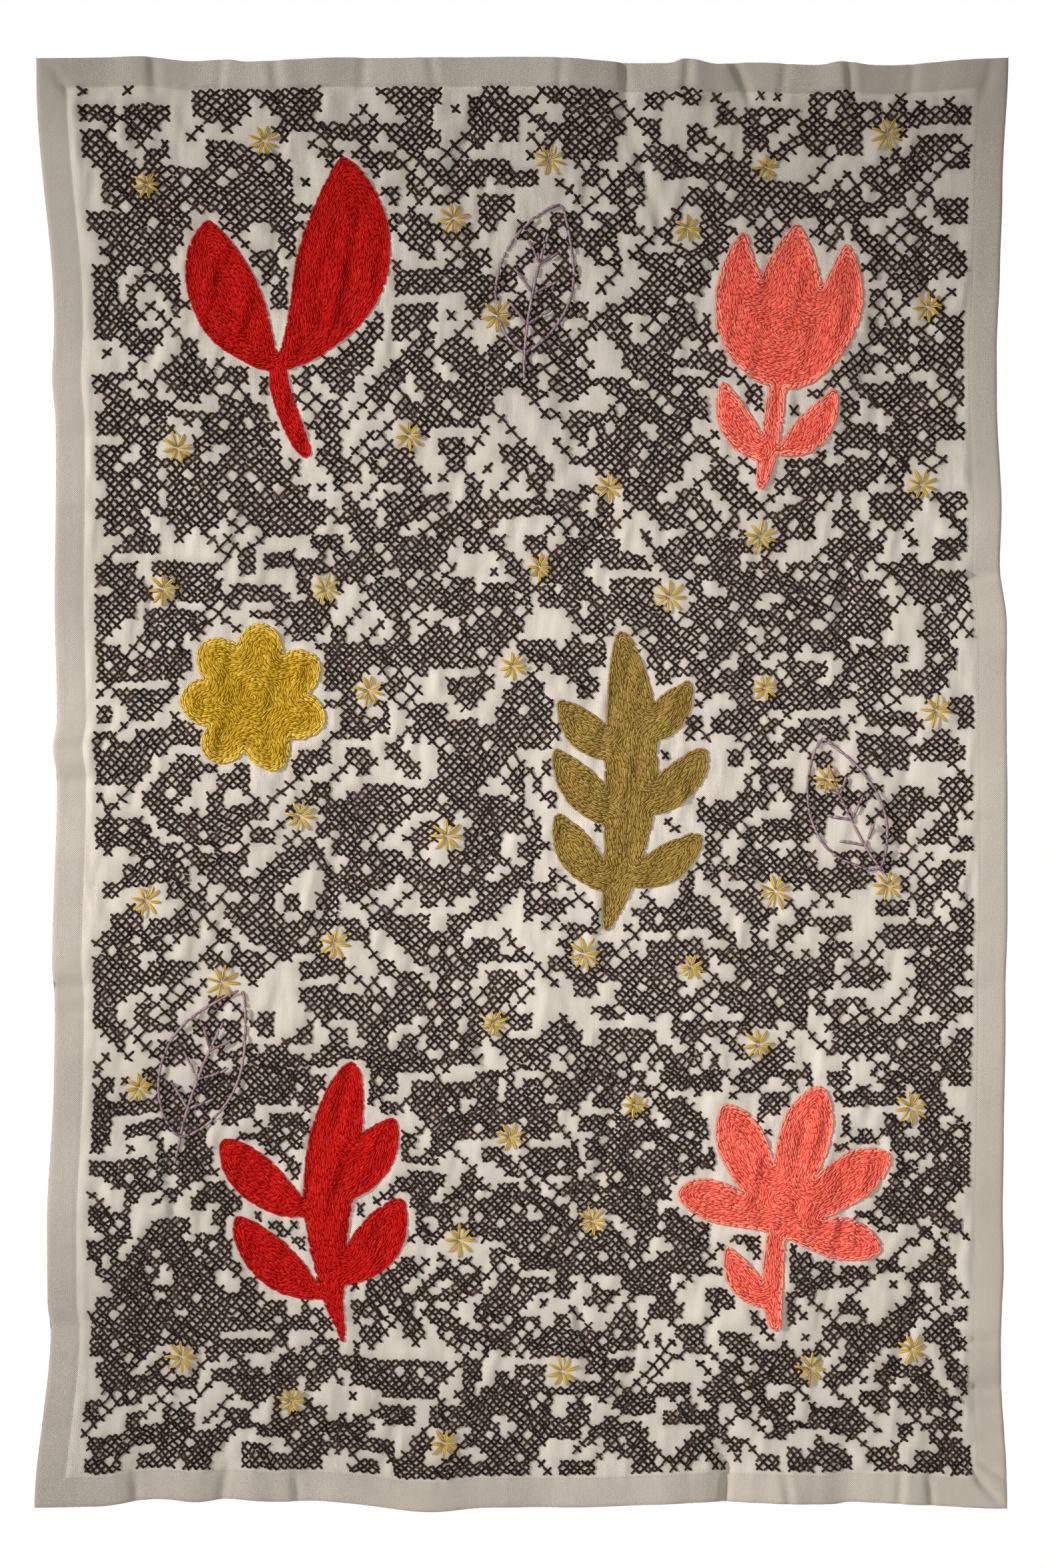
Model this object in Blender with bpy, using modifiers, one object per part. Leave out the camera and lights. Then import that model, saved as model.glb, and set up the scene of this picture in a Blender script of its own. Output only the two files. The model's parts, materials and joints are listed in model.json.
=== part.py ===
"""Embroidered wall hanging: one hemmed cloth with stitched leaf and flower motifs that stand up from it.

Metres, +Z up, the worked face towards -Y. The origin is the middle of the top edge, where the cloth is
held. The cloth is laid out flat by its distance across and its drop below the top edge, and cloth_point
turns such a flat place into the place where it hangs.
"""

import math
from collections import namedtuple

import bmesh
import bpy
from mathutils import Vector

# Driving dimensions of the cloth
WIDTH = 1.000
HEIGHT = 1.500
HEM = 0.031
CLOTH_THICKNESS = 0.0016
HEM_THICKNESS = 0.0028
HEM_STEP = 0.0025

# How finely the cloth is divided
COLUMNS = 46
ROWS = 48
HEM_CELLS = 2

# Stitched motifs
STITCH_RISE = 0.0024
STITCH_GAP = 0.0003
PETAL_STEPS = 12
CUTTER_DEPTH = 0.12
WELD = 0.00005

# Corners of the cloth come forward a little
CORNER_CURL = 0.006
CORNER_REACH = 0.090

# Colour, roughness
FINISHES = {
    "cloth": ((0.575, 0.535, 0.480), 0.90),
    "red": ((0.440, 0.012, 0.006), 0.85),
    "coral": ((0.640, 0.110, 0.075), 0.85),
    "olive": ((0.260, 0.190, 0.048), 0.85),
    "mustard": ((0.520, 0.330, 0.040), 0.85),
}

# The turning points of each edge. along runs from the edge's left or top end, and out is how far the edge
# stands past the nominal rectangle there.
EdgePoint = namedtuple("EdgePoint", "along out")
TOP_EDGE = [
    EdgePoint(0.000, -0.0022),
    EdgePoint(0.108, 0.0000),
    EdgePoint(0.158, -0.0040),
    EdgePoint(0.194, -0.0025),
    EdgePoint(0.216, -0.0050),
    EdgePoint(0.325, 0.0000),
    EdgePoint(0.360, -0.0012),
    EdgePoint(0.500, 0.0000),
    EdgePoint(0.652, -0.0065),
    EdgePoint(0.668, -0.0020),
    EdgePoint(0.701, -0.0072),
    EdgePoint(0.728, -0.0052),
    EdgePoint(0.806, -0.0085),
    EdgePoint(0.829, -0.0052),
    EdgePoint(0.862, -0.0085),
    EdgePoint(1.000, -0.0020),
]
BOTTOM_EDGE = [
    EdgePoint(0.000, 0.0002),
    EdgePoint(0.060, 0.0000),
    EdgePoint(0.132, -0.0075),
    EdgePoint(0.166, -0.0050),
    EdgePoint(0.201, -0.0082),
    EdgePoint(0.252, -0.0048),
    EdgePoint(0.290, -0.0052),
    EdgePoint(0.408, 0.0050),
    EdgePoint(0.470, 0.0012),
    EdgePoint(0.540, 0.0012),
    EdgePoint(0.705, -0.0042),
    EdgePoint(0.822, -0.0020),
    EdgePoint(0.840, -0.0042),
    EdgePoint(1.000, 0.0014),
]
LEFT_EDGE = [
    EdgePoint(0.000, 0.0022),
    EdgePoint(0.026, 0.0022),
    EdgePoint(0.273, -0.0156),
    EdgePoint(0.328, -0.0135),
    EdgePoint(0.383, -0.0178),
    EdgePoint(0.560, -0.0165),
    EdgePoint(0.687, -0.0186),
    EdgePoint(0.714, -0.0148),
    EdgePoint(0.742, -0.0186),
    EdgePoint(0.935, -0.0140),
    EdgePoint(0.976, -0.0163),
    EdgePoint(1.040, -0.0156),
    EdgePoint(1.218, -0.0085),
    EdgePoint(1.290, -0.0085),
    EdgePoint(1.321, -0.0118),
    EdgePoint(1.500, 0.0040),
]
RIGHT_EDGE = [
    EdgePoint(0.000, 0.0022),
    EdgePoint(0.140, -0.0034),
    EdgePoint(0.217, -0.0055),
    EdgePoint(0.300, -0.0092),
    EdgePoint(0.355, -0.0090),
    EdgePoint(0.462, -0.0046),
    EdgePoint(0.520, -0.0056),
    EdgePoint(0.585, 0.0008),
    EdgePoint(0.880, 0.0020),
    EdgePoint(0.976, 0.0000),
    EdgePoint(1.195, -0.0030),
    EdgePoint(1.250, -0.0020),
    EdgePoint(1.322, -0.0052),
    EdgePoint(1.500, 0.0010),
]

# Folds that run in from an edge. at is the fold's place along the edge, width its whole width, rise how
# far it comes forward (back if negative), and reach how far in from the edge it has died away.
HemFold = namedtuple("HemFold", "edge at width rise reach")
HEM_FOLDS = [
    HemFold("top", 0.105, 0.075, 0.0045, 0.10),
    HemFold("top", 0.170, 0.070, -0.0035, 0.08),
    HemFold("top", 0.248, 0.070, 0.0040, 0.12),
    HemFold("top", 0.330, 0.080, -0.0040, 0.10),
    HemFold("top", 0.405, 0.075, 0.0035, 0.09),
    HemFold("top", 0.545, 0.080, 0.0045, 0.09),
    HemFold("top", 0.612, 0.065, -0.0055, 0.14),
    HemFold("top", 0.672, 0.062, 0.0065, 0.12),
    HemFold("top", 0.730, 0.065, -0.0045, 0.10),
    HemFold("top", 0.832, 0.065, 0.0060, 0.11),
    HemFold("top", 0.890, 0.065, -0.0040, 0.10),
    HemFold("top", 0.950, 0.060, 0.0030, 0.08),
    HemFold("bottom", 0.108, 0.065, -0.0050, 0.10),
    HemFold("bottom", 0.163, 0.065, 0.0045, 0.09),
    HemFold("bottom", 0.222, 0.060, 0.0055, 0.09),
    HemFold("bottom", 0.282, 0.065, -0.0045, 0.08),
    HemFold("bottom", 0.408, 0.110, 0.0050, 0.09),
    HemFold("bottom", 0.520, 0.080, -0.0035, 0.08),
    HemFold("bottom", 0.650, 0.075, 0.0040, 0.08),
    HemFold("bottom", 0.712, 0.060, -0.0060, 0.10),
    HemFold("bottom", 0.775, 0.065, 0.0045, 0.08),
    HemFold("bottom", 0.835, 0.060, -0.0050, 0.09),
    HemFold("bottom", 0.900, 0.065, 0.0040, 0.08),
    HemFold("left", 0.300, 0.100, -0.0035, 0.08),
    HemFold("left", 0.385, 0.090, 0.0040, 0.07),
    HemFold("left", 0.560, 0.110, 0.0030, 0.07),
    HemFold("left", 0.655, 0.080, -0.0030, 0.07),
    HemFold("left", 0.718, 0.080, 0.0055, 0.09),
    HemFold("left", 0.790, 0.080, -0.0035, 0.07),
    HemFold("left", 0.940, 0.090, 0.0045, 0.08),
    HemFold("left", 1.010, 0.080, -0.0035, 0.07),
    HemFold("left", 1.190, 0.110, 0.0040, 0.07),
    HemFold("left", 1.305, 0.085, -0.0055, 0.09),
    HemFold("left", 1.385, 0.085, 0.0045, 0.08),
    HemFold("right", 0.235, 0.110, -0.0030, 0.07),
    HemFold("right", 0.470, 0.090, 0.0035, 0.07),
    HemFold("right", 0.530, 0.080, -0.0050, 0.08),
    HemFold("right", 0.600, 0.090, 0.0055, 0.08),
    HemFold("right", 0.760, 0.110, 0.0030, 0.07),
    HemFold("right", 0.960, 0.100, -0.0030, 0.07),
    HemFold("right", 1.140, 0.110, 0.0035, 0.07),
    HemFold("right", 1.315, 0.085, 0.0045, 0.08),
    HemFold("right", 1.385, 0.080, -0.0055, 0.09),
    HemFold("right", 1.450, 0.070, 0.0035, 0.07),
]

# Long soft folds in the worked field. across and drop are the fold's middle, and lean is its slant from
# straight down, in degrees, with its foot towards +X if positive.
FieldFold = namedtuple("FieldFold", "across drop lean length width rise")
FIELD_FOLDS = [
    FieldFold(-0.330, 0.470, 12.0, 0.420, 0.110, 0.0040),
    FieldFold(-0.100, 0.180, -20.0, 0.300, 0.100, 0.0035),
    FieldFold(0.060, 0.420, 8.0, 0.380, 0.090, -0.0035),
    FieldFold(0.330, 0.300, -14.0, 0.340, 0.110, 0.0045),
    FieldFold(0.160, 0.640, -30.0, 0.360, 0.120, 0.0040),
    FieldFold(-0.150, 0.760, 15.0, 0.420, 0.120, -0.0040),
    FieldFold(0.400, 0.820, 4.0, 0.460, 0.100, -0.0035),
    FieldFold(-0.380, 0.930, -6.0, 0.400, 0.110, 0.0035),
    FieldFold(0.020, 1.010, 18.0, 0.380, 0.120, 0.0040),
    FieldFold(0.300, 1.180, -16.0, 0.360, 0.110, 0.0035),
    FieldFold(-0.260, 1.260, 22.0, 0.340, 0.120, -0.0035),
    FieldFold(0.120, 1.350, 5.0, 0.260, 0.100, -0.0030),
]

# A petal of a motif. side and up are its root, from the motif's own root, and heading is where it sets
# out, in degrees clockwise from up. bend is how far it has turned by its tip. widest is how far along it
# is widest, and a fullness below 1 makes it blunter.
Petal = namedtuple("Petal", "side up heading length bend half_width widest fullness")
TULIP = [
    Petal(0.000, 0.000, 0.0, 0.200, 0.0, 0.039, 0.50, 0.80),
    Petal(0.006, 0.002, -52.0, 0.200, 62.0, 0.035, 0.42, 0.75),
    Petal(-0.006, 0.002, 52.0, 0.200, -62.0, 0.035, 0.42, 0.75),
    Petal(0.000, 0.030, 180.0, 0.160, 10.0, 0.0115, 0.50, 0.30),
    Petal(-0.002, -0.095, -60.0, 0.118, 50.0, 0.021, 0.50, 0.80),
    Petal(0.001, -0.082, 64.0, 0.114, -50.0, 0.021, 0.50, 0.80),
]
SPROUT = [
    Petal(0.000, 0.000, 46.0, 0.262, -58.0, 0.052, 0.54, 0.74),
    Petal(0.004, 0.000, -56.0, 0.196, 58.0, 0.040, 0.54, 0.74),
    Petal(0.000, 0.020, 180.0, 0.126, -34.0, 0.0115, 0.50, 0.30),
]
ROSETTE_PETALS = 7
ROSETTE = [
    Petal(0.000, 0.000, 8.0 + 360.0 * i / ROSETTE_PETALS, 0.086, 0.0, 0.0262, 0.66, 0.60)
    for i in range(ROSETTE_PETALS)
]
FERN = [
    Petal(0.000, 0.000, 0.0, 0.335, -26.0, 0.029, 0.56, 0.55),
    Petal(0.000, 0.058, 62.0, 0.104, -34.0, 0.0205, 0.54, 0.72),
    Petal(-0.003, 0.046, -70.0, 0.108, 34.0, 0.0205, 0.54, 0.72),
    Petal(-0.010, 0.134, 52.0, 0.110, -34.0, 0.0210, 0.54, 0.72),
    Petal(-0.010, 0.118, -76.0, 0.116, 34.0, 0.0215, 0.54, 0.72),
    Petal(-0.028, 0.208, 44.0, 0.092, -34.0, 0.0195, 0.54, 0.72),
    Petal(-0.028, 0.190, -84.0, 0.102, 34.0, 0.0200, 0.54, 0.72),
]
SPRIG = [
    Petal(0.000, 0.000, 0.0, 0.335, 30.0, 0.030, 0.66, 0.55),
    Petal(-0.005, 0.061, -52.0, 0.142, 34.0, 0.026, 0.55, 0.70),
    Petal(0.003, 0.073, 68.0, 0.138, -34.0, 0.026, 0.55, 0.70),
    Petal(0.004, 0.159, -56.0, 0.142, 36.0, 0.026, 0.55, 0.70),
    Petal(0.011, 0.166, 68.0, 0.138, -32.0, 0.026, 0.55, 0.70),
]
PALMETTE = [
    Petal(0.000, 0.000, 0.0, 0.172, 0.0, 0.029, 0.64, 0.62),
    Petal(0.002, 0.000, -36.0, 0.156, -8.0, 0.027, 0.64, 0.62),
    Petal(-0.002, 0.000, 36.0, 0.156, 8.0, 0.027, 0.64, 0.62),
    Petal(0.004, 0.000, -72.0, 0.124, -24.0, 0.023, 0.64, 0.62),
    Petal(-0.004, 0.000, 72.0, 0.124, 24.0, 0.023, 0.64, 0.62),
    Petal(0.000, 0.026, 180.0, 0.136, -28.0, 0.0115, 0.50, 0.30),
    Petal(0.021, -0.080, -76.0, 0.088, 44.0, 0.0165, 0.50, 0.80),
]

# Where each motif's root lies on the flat cloth, how far the motif is turned clockwise, in degrees, and
# its size beside the petals' own sizes
Motif = namedtuple("Motif", "name finish across drop turn size petals")
MOTIFS = [
    Motif("motif_red_sprout", "red", -0.262, 0.322, 2.0, 0.92, SPROUT),
    Motif("motif_coral_tulip", "coral", 0.268, 0.336, 6.0, 0.86, TULIP),
    Motif("motif_mustard_rosette", "mustard", -0.292, 0.664, 0.0, 0.92, ROSETTE),
    Motif("motif_olive_fern", "olive", 0.078, 0.905, 16.0, 0.95, FERN),
    Motif("motif_red_sprig", "red", -0.190, 1.340, -14.0, 0.90, SPRIG),
    Motif("motif_coral_palmette", "coral", 0.262, 1.218, 16.0, 0.94, PALMETTE),
]


def smooth(share):
    """Eases from 0 to 1, flat at both ends."""
    share = min(max(share, 0.0), 1.0)
    return share * share * (3.0 - 2.0 * share)


def edge_out(rows, along):
    """How far an edge stands out at a place along it, eased between its turning points."""
    for low, high in zip(rows, rows[1:]):
        if along <= high.along:
            share = (along - low.along) / (high.along - low.along)
            return low.out + (high.out - low.out) * smooth(share)
    return rows[-1].out


def bump(offset, width):
    """A soft ridge of that whole width, 1 at its middle."""
    return 0.5 + 0.5 * math.cos(2.0 * math.pi * offset / width) if abs(offset) < width / 2 else 0.0


def hem_fold_rise(fold, across, drop):
    """How far one edge fold lifts the cloth at a flat place."""
    along, inward = {
        "top": (across + WIDTH / 2, drop),
        "bottom": (across + WIDTH / 2, HEIGHT - drop),
        "left": (drop, across + WIDTH / 2),
        "right": (drop, WIDTH / 2 - across),
    }[fold.edge]
    return fold.rise * bump(along - fold.at, fold.width) * smooth(1.0 - inward / fold.reach)


def field_fold_rise(fold, across, drop):
    """How far one long fold of the field lifts the cloth at a flat place."""
    lean = math.radians(fold.lean)
    side, down = across - fold.across, drop - fold.drop
    offset = side * math.cos(lean) - down * math.sin(lean)
    along = side * math.sin(lean) + down * math.cos(lean)
    return fold.rise * bump(offset, fold.width) * bump(along, fold.length)


def corner_rise(across, drop):
    """How far a corner of the cloth comes forward."""
    corner_gap = math.hypot(WIDTH / 2 - abs(across), min(drop, HEIGHT - drop))
    return CORNER_CURL * smooth(1.0 - corner_gap / CORNER_REACH)


def cloth_rise(across, drop):
    """How far forward of the wall plane the front of the cloth stands at a flat place."""
    folds = sum(hem_fold_rise(fold, across, drop) for fold in HEM_FOLDS)
    waves = sum(field_fold_rise(fold, across, drop) for fold in FIELD_FOLDS)
    return folds + waves + corner_rise(across, drop)


def cloth_point(across, drop):
    """Where a flat place of the cloth's front hangs, in the part's frame."""
    share_across = across / WIDTH + 0.5
    share_down = drop / HEIGHT
    left = -WIDTH / 2 - edge_out(LEFT_EDGE, drop)
    right = WIDTH / 2 + edge_out(RIGHT_EDGE, drop)
    top = edge_out(TOP_EDGE, across + WIDTH / 2)
    bottom = -HEIGHT - edge_out(BOTTOM_EDGE, across + WIDTH / 2)
    return Vector(
        (
            left + (right - left) * share_across,
            -cloth_rise(across, drop),
            top + (bottom - top) * share_down,
        )
    )


def line_place(index, count, length):
    """How far along a side a grid line lies: hem lines, then a narrow step, then even cells."""
    if index > count / 2:
        return length - line_place(count - index, count, length)
    if index <= HEM_CELLS:
        return HEM * index / HEM_CELLS
    first = HEM_CELLS + 1
    inner = length - 2 * (HEM + HEM_STEP)
    return HEM + HEM_STEP + inner * (index - first) / (count - 2 * first)


def in_hem(index, count):
    """Whether a grid line lies in the doubled hem."""
    return min(index, count - index) <= HEM_CELLS


def material(finish):
    """The material of one finish, made once."""
    made = bpy.data.materials.get(finish)
    if made:
        return made
    colour, roughness = FINISHES[finish]
    made = bpy.data.materials.new(finish)
    made.use_nodes = True
    shader = made.node_tree.nodes["Principled BSDF"]
    shader.inputs["Base Color"].default_value = (*colour, 1.0)
    shader.inputs["Roughness"].default_value = roughness
    shader.inputs["Metallic"].default_value = 0.0
    return made


def keep_in(collection, obj):
    """Moves an object into one collection."""
    for other in list(obj.users_collection):
        other.objects.unlink(obj)
    collection.objects.link(obj)


def as_guide(obj):
    """Marks an object as a cutter that isn't part of the model."""
    obj.hide_render = True
    obj.display_type = "WIRE"


def cloth_front(name):
    """The front surface of the hanging cloth, as an open sheet of triangles with its hem marked."""
    bpy.ops.mesh.primitive_grid_add(x_subdivisions=COLUMNS, y_subdivisions=ROWS, size=1.0)
    sheet = bpy.context.object
    sheet.name = sheet.data.name = name
    hem = sheet.vertex_groups.new(name="hem")
    for vertex in sheet.data.vertices:
        column = round((vertex.co.x + 0.5) * COLUMNS)
        row = round((0.5 - vertex.co.y) * ROWS)
        if in_hem(column, COLUMNS) or in_hem(row, ROWS):
            hem.add([vertex.index], 1.0, "REPLACE")
        across = line_place(column, COLUMNS, WIDTH) - WIDTH / 2
        drop = line_place(row, ROWS, HEIGHT)
        vertex.co = cloth_point(across, drop)
    mesh = bmesh.new()
    mesh.from_mesh(sheet.data)
    bmesh.ops.triangulate(mesh, faces=mesh.faces, quad_method="FIXED")
    mesh.to_mesh(sheet.data)
    mesh.free()
    return sheet


def make_cloth(parts):
    """The cloth with its hem turned to the back, where it is double."""
    cloth = cloth_front("cloth")
    shell = cloth.modifiers.new("thickness", "SOLIDIFY")
    shell.thickness = HEM_THICKNESS
    shell.offset = -1.0
    shell.vertex_group = "hem"
    shell.thickness_vertex_group = CLOTH_THICKNESS / HEM_THICKNESS
    cloth.data.materials.append(material("cloth"))
    cloth.data.shade_smooth()
    keep_in(parts, cloth)
    return cloth


def make_stitch_layer(cutters):
    """A layer that lies on all of the cloth's front, from which the motifs are cut."""
    layer = cloth_front("stitch_layer")
    layer.location.y = -STITCH_GAP
    shell = layer.modifiers.new("thickness", "SOLIDIFY")
    shell.thickness = STITCH_RISE
    shell.offset = 1.0
    as_guide(layer)
    keep_in(cutters, layer)
    return layer


def petal_outline(motif, petal):
    """The outline of one petal as flat places, from its root round its tip and back."""
    skew = math.log(0.5) / math.log(petal.widest)
    turn = math.radians(motif.turn)
    across = motif.across + motif.size * (petal.side * math.cos(turn) + petal.up * math.sin(turn))
    drop = motif.drop + motif.size * (petal.side * math.sin(turn) - petal.up * math.cos(turn))
    step = motif.size * petal.length / PETAL_STEPS
    first_side, second_side = [(across, drop)], []
    for i in range(1, PETAL_STEPS + 1):
        middle = math.radians(motif.turn + petal.heading + petal.bend * (i - 0.5) / PETAL_STEPS)
        across += step * math.sin(middle)
        drop -= step * math.cos(middle)
        if i == PETAL_STEPS:
            break
        share = i / PETAL_STEPS
        heading = math.radians(motif.turn + petal.heading + petal.bend * share)
        half = motif.size * petal.half_width * math.sin(math.pi * share**skew) ** petal.fullness
        first_side.append((across + half * math.cos(heading), drop + half * math.sin(heading)))
        second_side.append((across - half * math.cos(heading), drop - half * math.sin(heading)))
    return first_side + [(across, drop)] + second_side[::-1]


def petal_prism(name, motif, petal):
    """A petal's outline where the cloth hangs, extruded through it from front to back."""
    outline = [cloth_point(*place) for place in petal_outline(motif, petal)]
    flat = bpy.data.curves.new(name, "CURVE")
    flat.dimensions = "2D"
    flat.fill_mode = "BOTH"
    flat.extrude = CUTTER_DEPTH / 2
    spline = flat.splines.new("POLY")
    spline.points.add(len(outline) - 1)
    for point, place in zip(spline.points, outline):
        point.co = (place.x, place.z, 0.0, 1.0)
    spline.use_cyclic_u = True
    drawn = bpy.data.objects.new(name + "_outline", flat)
    bpy.context.scene.collection.objects.link(drawn)
    drawn.rotation_euler.x = math.radians(90.0)
    bpy.context.view_layer.update()
    solid = bpy.data.meshes.new_from_object(drawn.evaluated_get(bpy.context.evaluated_depsgraph_get()))
    mesh = bmesh.new()
    mesh.from_mesh(solid)
    bmesh.ops.remove_doubles(mesh, verts=mesh.verts, dist=WELD)
    mesh.to_mesh(solid)
    mesh.free()
    prism = bpy.data.objects.new(name, solid)
    prism.matrix_world = drawn.matrix_world
    bpy.context.scene.collection.objects.link(prism)
    bpy.data.objects.remove(drawn)
    return prism


def combine(obj, other, operation):
    """Joins another solid to an object, or keeps what both share."""
    cut = obj.modifiers.new(operation.lower(), "BOOLEAN")
    cut.operation = operation
    cut.object = other


def make_motif(motif, layer, parts, cutters):
    """One stitched motif: its petals grown together, and cut from the layer on the cloth's front."""
    stitched = petal_prism(motif.name, motif, motif.petals[0])
    for i, petal in enumerate(motif.petals[1:], 1):
        other = petal_prism(f"{motif.name}_petal_{i}", motif, petal)
        as_guide(other)
        keep_in(cutters, other)
        combine(stitched, other, "UNION")
    combine(stitched, layer, "INTERSECT")
    stitched.data.materials.clear()
    stitched.data.materials.append(material(motif.finish))
    keep_in(parts, stitched)
    return stitched


def main():
    for obj in list(bpy.data.objects):
        bpy.data.objects.remove(obj)
    parts = bpy.data.collections.new("embroidered_hanging")
    cutters = bpy.data.collections.new("cutters")
    for collection in (parts, cutters):
        bpy.context.scene.collection.children.link(collection)
    make_cloth(parts)
    layer = make_stitch_layer(cutters)
    for motif in MOTIFS:
        make_motif(motif, layer, parts, cutters)


main()
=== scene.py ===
"""Embroidered wall hanging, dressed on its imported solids.

One hemmed twill cloth hangs from its top edge. Its ground is worked in brown cross stitch, in uneven
patches that leave bare cloth between them. Six large motifs are filled with rows of stem stitch, small
daisies are scattered over the ground, and three leaves are drawn over it in single lines of stem stitch.

Everything is laid out on the flat cloth, by its distance across from the middle and its drop below the
top edge, with a lift out of the cloth's face. The Drape turns such a place into the place where it hangs.
"""

import logging
import math
from dataclasses import dataclass, field
from enum import Enum
from typing import NamedTuple

import json
import bpy
import numpy as np
from mathutils.geometry import delaunay_2d_cdt
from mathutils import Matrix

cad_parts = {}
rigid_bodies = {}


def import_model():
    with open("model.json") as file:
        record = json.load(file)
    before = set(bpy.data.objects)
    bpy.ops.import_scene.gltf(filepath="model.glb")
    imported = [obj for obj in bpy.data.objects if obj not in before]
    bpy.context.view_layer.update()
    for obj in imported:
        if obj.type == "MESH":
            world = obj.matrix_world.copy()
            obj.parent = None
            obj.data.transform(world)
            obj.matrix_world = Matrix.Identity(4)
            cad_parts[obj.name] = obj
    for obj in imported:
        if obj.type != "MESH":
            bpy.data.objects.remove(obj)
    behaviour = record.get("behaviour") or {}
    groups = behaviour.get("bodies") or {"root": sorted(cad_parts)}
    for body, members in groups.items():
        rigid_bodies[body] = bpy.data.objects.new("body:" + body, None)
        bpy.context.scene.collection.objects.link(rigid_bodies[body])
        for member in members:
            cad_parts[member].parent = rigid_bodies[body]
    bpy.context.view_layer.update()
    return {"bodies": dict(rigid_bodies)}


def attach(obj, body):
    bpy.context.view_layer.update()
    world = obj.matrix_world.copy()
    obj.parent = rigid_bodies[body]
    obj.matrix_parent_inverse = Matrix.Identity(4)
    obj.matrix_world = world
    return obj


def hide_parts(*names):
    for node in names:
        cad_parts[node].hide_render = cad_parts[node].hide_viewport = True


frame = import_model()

BODY = next(iter(frame["bodies"]))
TINY = 1e-12
LOG = logging.getLogger("hanging")
Colour = tuple[float, float, float, float]


class Side(Enum):
    """The sides of the cloth."""

    TOP = "top"
    BOTTOM = "bottom"
    LEFT = "left"
    RIGHT = "right"


class EdgePoint(NamedTuple):
    """A turning point of an edge: its place along the edge, and how far the edge stands out there."""

    along: float
    out: float


class HemFold(NamedTuple):
    """A fold that runs in from an edge and has died away at its reach."""

    side: Side
    at: float
    width: float
    rise: float
    reach: float


class FieldFold(NamedTuple):
    """A fold or crease by its middle, its slant from straight down in degrees, and its size."""

    across: float
    drop: float
    lean: float
    length: float
    width: float
    rise: float


class Petal(NamedTuple):
    """A petal or leaf of a motif, from its root in the motif's own frame."""

    side: float
    up: float
    heading: float
    length: float
    bend: float
    half_width: float
    widest: float
    fullness: float


TOP_EDGE = [EdgePoint(*row) for row in (
    (0.000, -0.0022), (0.108, 0.0000), (0.158, -0.0040), (0.194, -0.0025), (0.216, -0.0050),
    (0.325, 0.0000), (0.360, -0.0012), (0.500, 0.0000), (0.652, -0.0065), (0.668, -0.0020),
    (0.701, -0.0072), (0.728, -0.0052), (0.806, -0.0085), (0.829, -0.0052), (0.862, -0.0085),
    (1.000, -0.0020),
)]
BOTTOM_EDGE = [EdgePoint(*row) for row in (
    (0.000, 0.0002), (0.060, 0.0000), (0.132, -0.0075), (0.166, -0.0050), (0.201, -0.0082),
    (0.252, -0.0048), (0.290, -0.0052), (0.408, 0.0050), (0.470, 0.0012), (0.540, 0.0012), (0.705, -0.0042),
    (0.822, -0.0020), (0.840, -0.0042), (1.000, 0.0014),
)]
LEFT_EDGE = [EdgePoint(*row) for row in (
    (0.000, 0.0022), (0.026, 0.0022), (0.273, -0.0156), (0.328, -0.0135), (0.383, -0.0178),
    (0.560, -0.0165), (0.687, -0.0186), (0.714, -0.0148), (0.742, -0.0186), (0.935, -0.0140),
    (0.976, -0.0163), (1.040, -0.0156), (1.218, -0.0085), (1.290, -0.0085), (1.321, -0.0118),
    (1.500, 0.0040),
)]
RIGHT_EDGE = [EdgePoint(*row) for row in (
    (0.000, 0.0022), (0.140, -0.0034), (0.217, -0.0055), (0.300, -0.0092), (0.355, -0.0090),
    (0.462, -0.0046), (0.520, -0.0056), (0.585, 0.0008), (0.880, 0.0020), (0.976, 0.0000), (1.195, -0.0030),
    (1.250, -0.0020), (1.322, -0.0052), (1.500, 0.0010),
)]
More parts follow.
